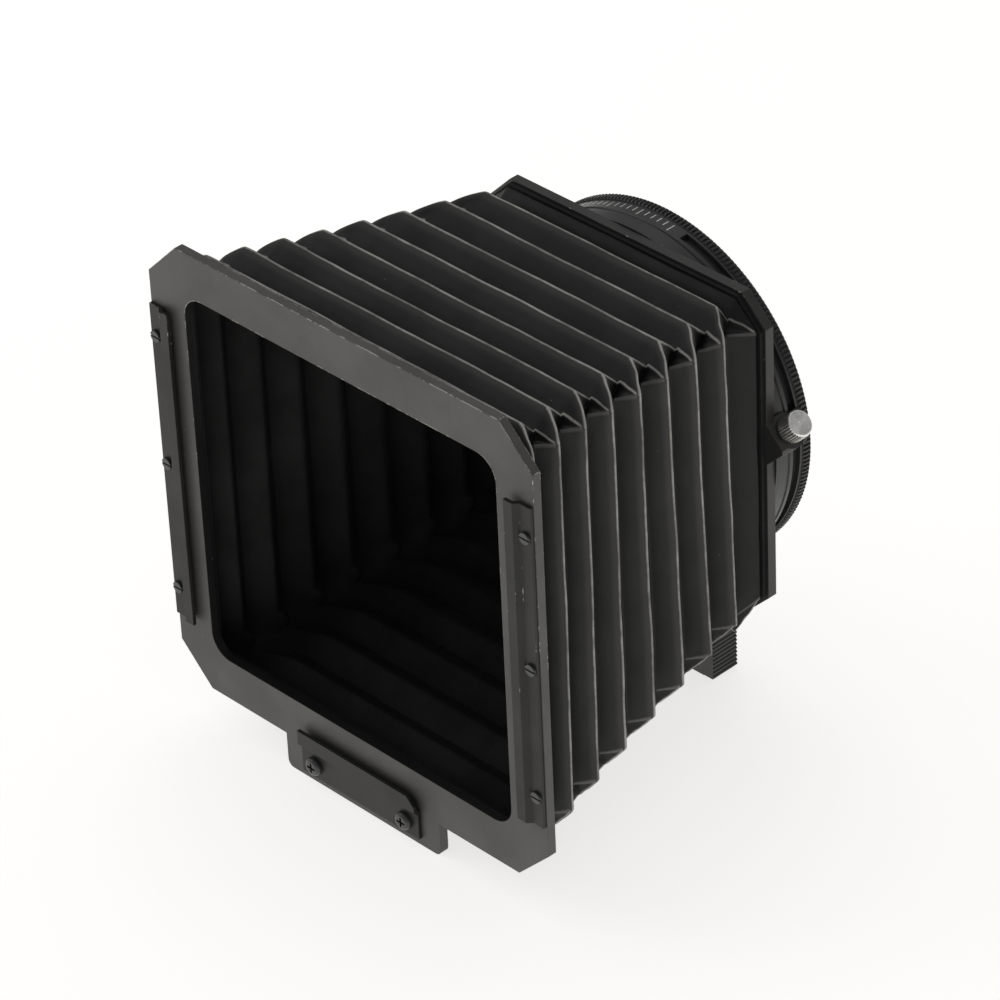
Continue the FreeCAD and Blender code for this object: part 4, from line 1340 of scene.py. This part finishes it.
    def _round_fold(self, number: int, columns: list[Column], rows: Rows, tags: Tags,
                    opening_rows: list[bool]) -> None:
        """Adds the rows that round the fold at the end of a panel.

        Args:
            number: The panel in front of the fold.
            columns: The lengthwise lines.
            rows: The rows of points so far; new ones are added.
            tags: The rows of distances so far.
            opening_rows: The rows' kinds so far.
        """
        fold = self.lines[number + 1]
        before = rows[-1]
        trims = self._trims(number + 1)
        opening = not fold.ridge
        after = [self._shaken(self._panel_point(number + 1, c, 0.0, trims), c, opening, 0.0) for c in columns]
        tips = [self._shaken(fold.point(c), c, opening, 0.0) for c in columns]
        for share in self.ROUND_SHARES:
            near = (1.0 - share) ** 2
            middle = 2.0 * share * (1.0 - share)
            rows.append([a * near + tip * middle + b * share * share
                         for a, tip, b in zip(before, tips, after)])
            distance = (self.ridge_lead if share < 0.5 else self.crease) * abs(share - 0.5) * 1.2
            tags.append([self._fold_distances(c, distance, fold.ridge) for c in columns])
            opening_rows.append(False)

    def _softened(self, rows: Rows, columns: list[Column]) -> Rows:
        """Rounds the folds off at the corners, where layers of cloth lie on each other.

        Args:
            rows: The rows of points.
            columns: The lengthwise lines.

        Returns:
            The rounded rows.
        """
        count = len(columns)
        shares = []
        for k in range(count):
            near = [columns[(k + step) % count].side.is_corner for step in range(-3, 4)]
            shares.append(0.5 * sum(near) / len(near))
        for _ in range(self.soft_passes):
            eased = [rows[0]]
            for number in range(1, len(rows) - 1):
                row, before, after = rows[number], rows[number - 1], rows[number + 1]
                fresh = []
                for k, share in enumerate(shares):
                    around = (row[k - 1] + row[(k + 1) % count] + before[k] + after[k]) / 4.0
                    fresh.append(row[k].lerp(around, share) if share else row[k])
                eased.append(fresh)
            rows = eased + [rows[-1]]
        return rows

    def _run(self, column: Column) -> float:
        """Returns how far a line on a straight side is from that side's nearer end, in millimetres."""
        return min(column.share, 1.0 - column.share) * 2.0 * (self.first_half - 5.0)

    def _distances(self, column: Column, share: float, length: float, number: int) -> dict[str, float]:
        """Finds the distances from a panel point to the pale fold lines, which are rubbed wear and painted
        highlight.

        Args:
            column: The point's lengthwise line.
            share: 0 to 1 along the panel.
            length: The panel's length.
            number: The panel's number.

        Returns:
            The distance in millimetres for each attribute in LINES.
        """
        opening = not self.lines[number].ridge
        first = number == 0
        along = share * (length - 2.0 * self.crease)
        ridge = self.ridge_lead * 0.6 + length - 2.0 * self.crease - along if opening else self.crease + along
        if number == len(self.lines) - 2:
            ridge = FAR_MM
        crease, soft = FAR_MM, FAR_MM
        if column.side.is_corner:
            corner = ridge
            across = column.across
            if opening and not first:
                crease = abs(across - share) * self.corner_mm / math.sqrt(2.0)
                soft = (1.0 - across) * self.corner_mm
            elif not opening:
                crease = across * self.corner_mm * 0.5
        else:
            run = self._run(column)
            if column.side.kind == "level":
                crease = run + (along if opening else 0.0)
            elif opening and not first:
                soft = run
            corner = ridge + run
        return {"ridge_mm": ridge, "corner_mm": corner, "crease_mm": crease, "soft_highlight_mm": soft}

    def _fold_distances(self, column: Column, distance: float, ridge: bool) -> dict[str, float]:
        """Finds the distances to the pale fold lines, which are rubbed wear and painted highlight, at a row
        that rounds a fold.

        Args:
            column: The point's lengthwise line.
            distance: How far the row is from the fold's middle.
            ridge: Whether it is an outer fold.

        Returns:
            The distance in millimetres for each attribute in LINES.
        """
        tag = {name: FAR_MM for name, _, _ in self.LINES}
        corner = column.side.is_corner
        if ridge:
            tag["ridge_mm"] = distance
            tag["corner_mm"] = distance if corner else distance + self._run(column)
        elif corner:
            tag["crease_mm"] = column.across * self.corner_mm * 0.7
        elif column.side.kind == "level":
            tag["crease_mm"] = self._run(column)
        return tag

    def _faces(self, columns: list[Column], row_count: int,
               opening_rows: list[bool]) -> list[tuple[int, ...]]:
        """Lists the faces between the rows. In an opening panel's corner they are split along its crease.

        Args:
            columns: The lengthwise lines.
            row_count: How many rows there are.
            opening_rows: For each row, whether the strip after it lies on an opening panel.

        Returns:
            The vertex numbers of each face.
        """
        count = len(columns)
        faces: list[tuple[int, ...]] = []
        for row in range(row_count - 1):
            for k, column in enumerate(columns):
                nxt = (k + 1) % count
                a, b = row * count + k, row * count + nxt
                c, d = (row + 1) * count + nxt, (row + 1) * count + k
                if column.side.is_corner and opening_rows[row]:
                    if column.side.level_first:
                        faces += [(a, b, c), (a, c, d)]
                    else:
                        faces += [(a, b, d), (b, c, d)]
                else:
                    faces.append((a, b, c, d))
        return faces

    def _map_cloth(self, mesh: bpy.types.Mesh, rows: Rows) -> None:
        """Lays the cloth's own map: x round the bellows and y along it, in millimetres.

        Args:
            mesh: The cloth's mesh.
            rows: The rows of points that it was made from.
        """
        count = len(rows[0])
        middle = rows[len(rows) // 2]
        around = [0.0]
        for k in range(1, count):
            around.append(around[-1] + (middle[k] - middle[k - 1]).length)
        along = [0.0]
        probe = count // 16
        for before, after in zip(rows, rows[1:]):
            along.append(along[-1] + (after[probe] - before[probe]).length)
        layer = mesh.uv_layers.new(name=self.CLOTH_MAP)
        closing = around[-1] + (middle[0] - middle[-1]).length
        for face in mesh.polygons:
            turns = [vertex % count for vertex in face.vertices]
            wraps = max(turns) - min(turns) > count // 2
            for loop in face.loop_indices:
                vertex = mesh.loops[loop].vertex_index
                turn = around[vertex % count]
                if wraps and vertex % count == 0:
                    turn = closing
                layer.data[loop].uv = (turn, along[vertex // count])

    def build(self, palette: Palette) -> bpy.types.Object:
        """Makes the cloth and hangs it on the rear standard.

        Args:
            palette: The finishes.

        Returns:
            The bellows.
        """
        columns = self._columns()
        rows, tags, opening_rows = self._rows(columns)
        rows = self._softened(rows, columns)
        points = [point for row in rows for point in row]
        faces = self._faces(columns, len(rows), opening_rows)
        finishes = [palette[Finishes.CLOTH], palette[Finishes.LINING]]
        cloth = mesh_object("bellows_cloth", points, faces, finishes)
        for name, _, _ in self.LINES:
            layer = cloth.data.attributes.new(name, "FLOAT", "POINT")
            layer.data.foreach_set("value", [tag[name] for row in tags for tag in row])
        self._map_cloth(cloth.data, rows)
        wall = cloth.modifiers.new("cloth thickness", "SOLIDIFY")
        wall.thickness = self.cloth * MM
        wall.offset = -1.0
        wall.material_offset = 1
        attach(cloth, Body.REAR.value)
        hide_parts("bellows")
        travel = max(joint_record("front_slide")["range_m"]) / MM
        length = self.rear_y - self.front_y
        (length - travel) / length
        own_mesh(cloth)
        return cloth


@dataclass
class ClampKnob:
    """Knurled knob of the clamp screw, turned about its own Z axis."""

    radius: float = 2.92
    length: float = 4.3
    gap: float = 0.35
    teeth: int = 30
    tooth_steps: int = 8
    tooth_depth: float = 0.26
    face_bevel: float = 0.42
    foot_bevel: float = 0.15
    stud: float = 1.52
    dish: float = 0.06
    dimple: float = 0.32

    def _profile(self) -> list[tuple[float, float, float]]:
        """Lays out the outline from the foot to the middle of the face.

        Returns:
            The radius, height and share of the tooth depth at each of its points.
        """
        top = self.length
        shoulder = top - self.face_bevel
        outer = self.radius
        face = outer - self.face_bevel
        return [(self.stud, 0.0, 0.0), (outer - 0.35, 0.0, 0.0), (outer - 0.28, 0.01, 0.2),
                (outer - 0.02, self.foot_bevel, 0.9), (outer, self.foot_bevel + 0.12, 1.0),
                (outer, shoulder * 0.5, 1.0), (outer, shoulder - 0.12, 1.0), (outer - 0.01, shoulder, 0.85),
                (outer - 0.1, shoulder + 0.1, 0.25), (outer - 0.22, shoulder + 0.22, 0.0),
                (face + 0.06, top - 0.05, 0.0), (face - 0.02, top, 0.0), (face - 0.12, top, 0.0),
                (face * 0.55, top - self.dish * 0.6, 0.0), (self.dimple + 0.08, top - self.dish, 0.0),
                (self.dimple, top - self.dish - 0.03, 0.0), (0.02, top - self.dish - 0.2, 0.0)]

    def build(self, palette: Palette) -> bpy.types.Object:
        """Makes the knob on the clamp screw's axis.

        Args:
            palette: The finishes.

        Returns:
            The knob.
        """
        profile = self._profile()
        count = self.teeth * self.tooth_steps
        points = []
        for radius, height, share in profile:
            for k in range(count):
                phase = (k % self.tooth_steps) / self.tooth_steps
                cut = 0.5 - 0.5 * math.cos(2.0 * math.pi * phase)
                r = radius - self.tooth_depth * share * cut ** 0.8
                turn = 2.0 * math.pi * k / count
                points.append(Vector((r * math.cos(turn), r * math.sin(turn), height)))
        faces = ring_faces(len(profile), count)
        faces.append(tuple(reversed(range(count))))
        faces.append(tuple((len(profile) - 1) * count + k for k in range(count)))
        finishes = [palette[Finishes.KNOB_SIDE], palette[Finishes.KNOB_FACE]]
        knob = mesh_object("clamp_knob_turned", points, faces, finishes)
        face_from = self.length - self.face_bevel + 0.05
        top_ring = next(n for n, (_, height, _) in enumerate(profile) if height >= face_from)
        for face in knob.data.polygons:
            if min(face.vertices) >= top_ring * count:
                face.material_index = 1
        joint = joint_record("clamp_turn")
        way = Vector(joint["axis"]).normalized()
        knob.location = Vector(joint["pos_m"]) + way * self.gap * MM
        knob.rotation_mode = "QUATERNION"
        knob.rotation_quaternion = way.to_track_quat("Z", "Y")
        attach(knob, Body.CLAMP.value)
        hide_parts("clamp_knob")
        return knob


@dataclass
class ButtonSpring:
    """Small coil behind one brake button."""

    node: str
    joint: str
    turns: int = 6
    wire: float = 0.13
    turn_steps: int = 24
    wire_steps: int = 10

    def build(self, palette: Palette) -> bpy.types.Object:
        """Makes the coil where the frame has its spring.

        Args:
            palette: The finishes.

        Returns:
            The coil.
        """
        low, high = (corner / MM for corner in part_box(self.node))
        middle = (low + high) / 2.0
        radius = (high.z - low.z) / 2.0 - self.wire
        start, end = low.x + self.wire, high.x - self.wire
        steps = self.turns * self.turn_steps
        points = []
        for step in range(steps + 1):
            share = step / steps
            turn = 2.0 * math.pi * self.turns * share
            out = Vector((0.0, math.cos(turn), math.sin(turn)))
            centre = Vector((start + (end - start) * share, middle.y, middle.z)) + out * radius
            for k in range(self.wire_steps):
                angle = 2.0 * math.pi * k / self.wire_steps
                away = out * math.cos(angle) + Vector((math.sin(angle), 0.0, 0.0))
                points.append(centre + away * self.wire)
        count = self.wire_steps
        faces = ring_faces(steps + 1, count)
        faces.append(tuple(range(count)))
        faces.append(tuple(reversed([steps * count + k for k in range(count)])))
        coil = mesh_object(self.node + "_coil", points, faces, [palette[Finishes.SPRING]])
        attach(coil, Body.REAR.value)
        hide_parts(self.node)
        travel = max(joint_record(self.joint)["range_m"]) / MM
        length = high.x - low.x
        (length - travel) / length
        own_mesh(coil)
        return coil


@dataclass
class SubAssembly:
    """Pieces of the frame and their finishes, with any pieces that are made here."""

    coats: dict[Finishes, tuple[str, ...]] = field(default_factory=dict)

    def make(self, palette: Palette) -> list[str]:
        """Makes the new pieces, of which there are none here, and returns their names."""
        return []

    def build(self, palette: Palette) -> list[str]:
        """Makes the new pieces and dresses the frame's own.

        Args:
            palette: The finishes.

        Returns:
            The names of the pieces.
        """
        done = self.make(palette)
        for finish, nodes in self.coats.items():
            done += dress(nodes, palette[finish])
        return done


@dataclass
class FrontStandard(SubAssembly):
    """Front plate, mask rails, bellows frame and slide rail."""

    coats: dict[Finishes, tuple[str, ...]] = field(default_factory=lambda: {
        Finishes.FRONT: ("front_plate",),
        Finishes.RAIL: ("mask_rail_right", "mask_rail_left", "mask_rail_bottom"),
        Finishes.SCREW: ("mask_rail_screws_right", "mask_rail_screws_left", "mask_rail_screws_bottom",
                         "rail_stop_screw"),
        Finishes.FRAME: ("bellows_frame_front",),
        Finishes.RAIL_STEEL: ("slide_rail", "rail_stop")})


@dataclass
class RearStandard(SubAssembly):
    """Rear plate, collar, guide block and what is screwed to them."""

    coats: dict[Finishes, tuple[str, ...]] = field(default_factory=lambda: {
        Finishes.REAR: ("rear_plate",),
        Finishes.BLOCK: ("guide_block",),
        Finishes.FRAME: ("bellows_frame_rear",),
        Finishes.COLLAR: ("neck_collar",),
        Finishes.BRIGHT: ("stop_pin",),
        Finishes.SCREW: ("rear_frame_screws", "collar_screws", "guide_block_screws")})


@dataclass
class MountRing(SubAssembly):
    """Turning ring with its engraved scale, bayonet and retaining ring."""

    coats: dict[Finishes, tuple[str, ...]] = field(default_factory=lambda: {
        Finishes.RING: ("mount_ring",),
        Finishes.COLLAR: ("retaining_ring",),
        Finishes.BRIGHT: ("bayonet_ring", "bayonet_screws", "retaining_ring_screws")})


@dataclass
class ClampScrew(SubAssembly):
    """Clamp screw, its pad and its knob."""

    coats: dict[Finishes, tuple[str, ...]] = field(default_factory=lambda: {
        Finishes.BRIGHT: ("clamp_screw",),
        Finishes.BRASS: ("clamp_pad",)})
    knob: ClampKnob = field(default_factory=ClampKnob)

    def make(self, palette: Palette) -> list[str]:
        """Makes the knob and returns its name."""
        return [self.knob.build(palette).name]


@dataclass
class RailBrake(SubAssembly):
    """The two ribbed buttons with their arms and springs."""

    coats: dict[Finishes, tuple[str, ...]] = field(default_factory=lambda: {
        Finishes.BUTTON: ("button_right", "button_left"),
        Finishes.RAIL_STEEL: ("brake_arm_right", "brake_arm_left")})
    springs: tuple[ButtonSpring, ...] = (ButtonSpring("button_spring_right", "right_button"),
                                         ButtonSpring("button_spring_left", "left_button"))

    def make(self, palette: Palette) -> list[str]:
        """Makes the springs and returns their names."""
        return [spring.build(palette).name for spring in self.springs]


# Studio


@dataclass(frozen=True)
class SoftBox:
    """Square area light that faces a point."""

    name: str
    place: tuple[float, float, float]
    aim: tuple[float, float, float]
    size: float
    brightness: float
    colour: Colour = (1.0, 1.0, 1.0)

    def build(self) -> bpy.types.Object:
        """Makes the light. Its brightness is the radiance of its face.

        Returns:
            The light, linked to the scene.
        """
        lamp = bpy.data.lights.new(self.name, "AREA")
        lamp.shape = "SQUARE"
        lamp.size = self.size
        lamp.energy = self.brightness * math.pi * self.size * self.size
        lamp.color = self.colour
        thing = bpy.data.objects.new(self.name, lamp)
        thing.location = self.place
        way = Vector(self.aim) - Vector(self.place)
        thing.rotation_mode = "QUATERNION"
        thing.rotation_quaternion = way.to_track_quat("-Z", "Y")
        bpy.context.scene.collection.objects.link(thing)
        return thing


@dataclass
class Studio:
    """Pale floor, soft light and the camera."""

    camera_place: tuple[float, float, float] = (0.628650, -0.636905, 0.588585)
    camera_turn: tuple[float, float, float] = (55.3195, 2.2241, 45.3445)
    lens: float = 191.349
    sensor: float = 36.0
    clip_start: float = 0.05
    floor_size: float = 9.0
    surround: float = 0.32
    glow: float = 0.74
    boxes: tuple[SoftBox, ...] = (
        SoftBox("overhead box", (-0.5, 0.25, 1.25), (0.0, 0.0, 0.0), 1.1, 0.8),
        SoftBox("front left box", (-1.3, -0.9, 0.9), (0.0, -0.04, 0.0), 0.9, 1.1),
    )

    def build(self, effects: Effects) -> None:
        """Makes everything that isn't the object.

        Args:
            effects: The shared effects.
        """
        scene = bpy.context.scene
        scene.view_settings.view_transform = "Standard"
        self._floor(effects)
        for box in self.boxes:
            box.build()
        world = bpy.data.worlds.new("studio")
        world.use_nodes = True
        background = next(node for node in world.node_tree.nodes if node.type == "BACKGROUND")
        background.inputs["Color"].default_value = (1.0, 1.0, 1.0, 1.0)
        background.inputs["Strength"].default_value = self.surround
        scene.world = world
        data = bpy.data.cameras.new("camera")
        data.lens = self.lens
        data.sensor_width = self.sensor
        data.clip_start = self.clip_start
        camera = bpy.data.objects.new("camera", data)
        camera.location = self.camera_place
        camera.rotation_euler = [math.radians(turn) for turn in self.camera_turn]
        scene.collection.objects.link(camera)
        scene.camera = camera

    def _floor(self, effects: Effects) -> None:
        """Makes the sheet that the shade stands on, lit from below as on a light table.

        Args:
            effects: The shared effects.
        """
        half = self.floor_size / 2.0 / MM
        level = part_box("front_plate")[0].z / MM
        corners = [Vector((x * half, y * half, level)) for x, y in ((-1, -1), (1, -1), (1, 1), (-1, 1))]
        material, sheet, shader = new_material("White paper")
        grain = sheet.effect(effects.grain, Grain_Scale=1200.0, Cloud_Scale=3.0)
        paper = sheet.mix(grain.outputs["Cloud"], (0.58, 0.579, 0.575), (0.6, 0.599, 0.595))
        sheet.feed(shader.inputs["Base Color"], paper)
        shader.inputs["Roughness"].default_value = 0.9
        shader.inputs["Specular IOR Level"].default_value = 0.2
        shader.inputs["Emission Color"].default_value = (1.0, 0.985, 0.96, 1.0)
        shader.inputs["Emission Strength"].default_value = self.glow
        mesh_object("floor", corners, [(0, 1, 2, 3)], [material])


def report(name: str, pieces: Iterable[str]) -> None:
    """Writes one sub-assembly's pieces to the log.

    Args:
        name: The sub-assembly's name.
        pieces: The names of its pieces.
    """
    for piece in pieces:
        log.info("%s: %s", name, piece)


def main() -> None:
    """Builds the studio, then each sub-assembly from front to rear."""
    logging.basicConfig(level=logging.INFO, format="%(message)s")
    effects = Effects()
    palette = Palette(effects)
    Studio().build(effects)
    report("front standard", FrontStandard().build(palette))
    report("bellows", [Bellows().build(palette).name])
    report("rear standard", RearStandard().build(palette))
    report("mount ring", MountRing().build(palette))
    report("clamp screw", ClampScrew().build(palette))
    report("rail brake", RailBrake().build(palette))


if __name__ == "__main__":
    main()
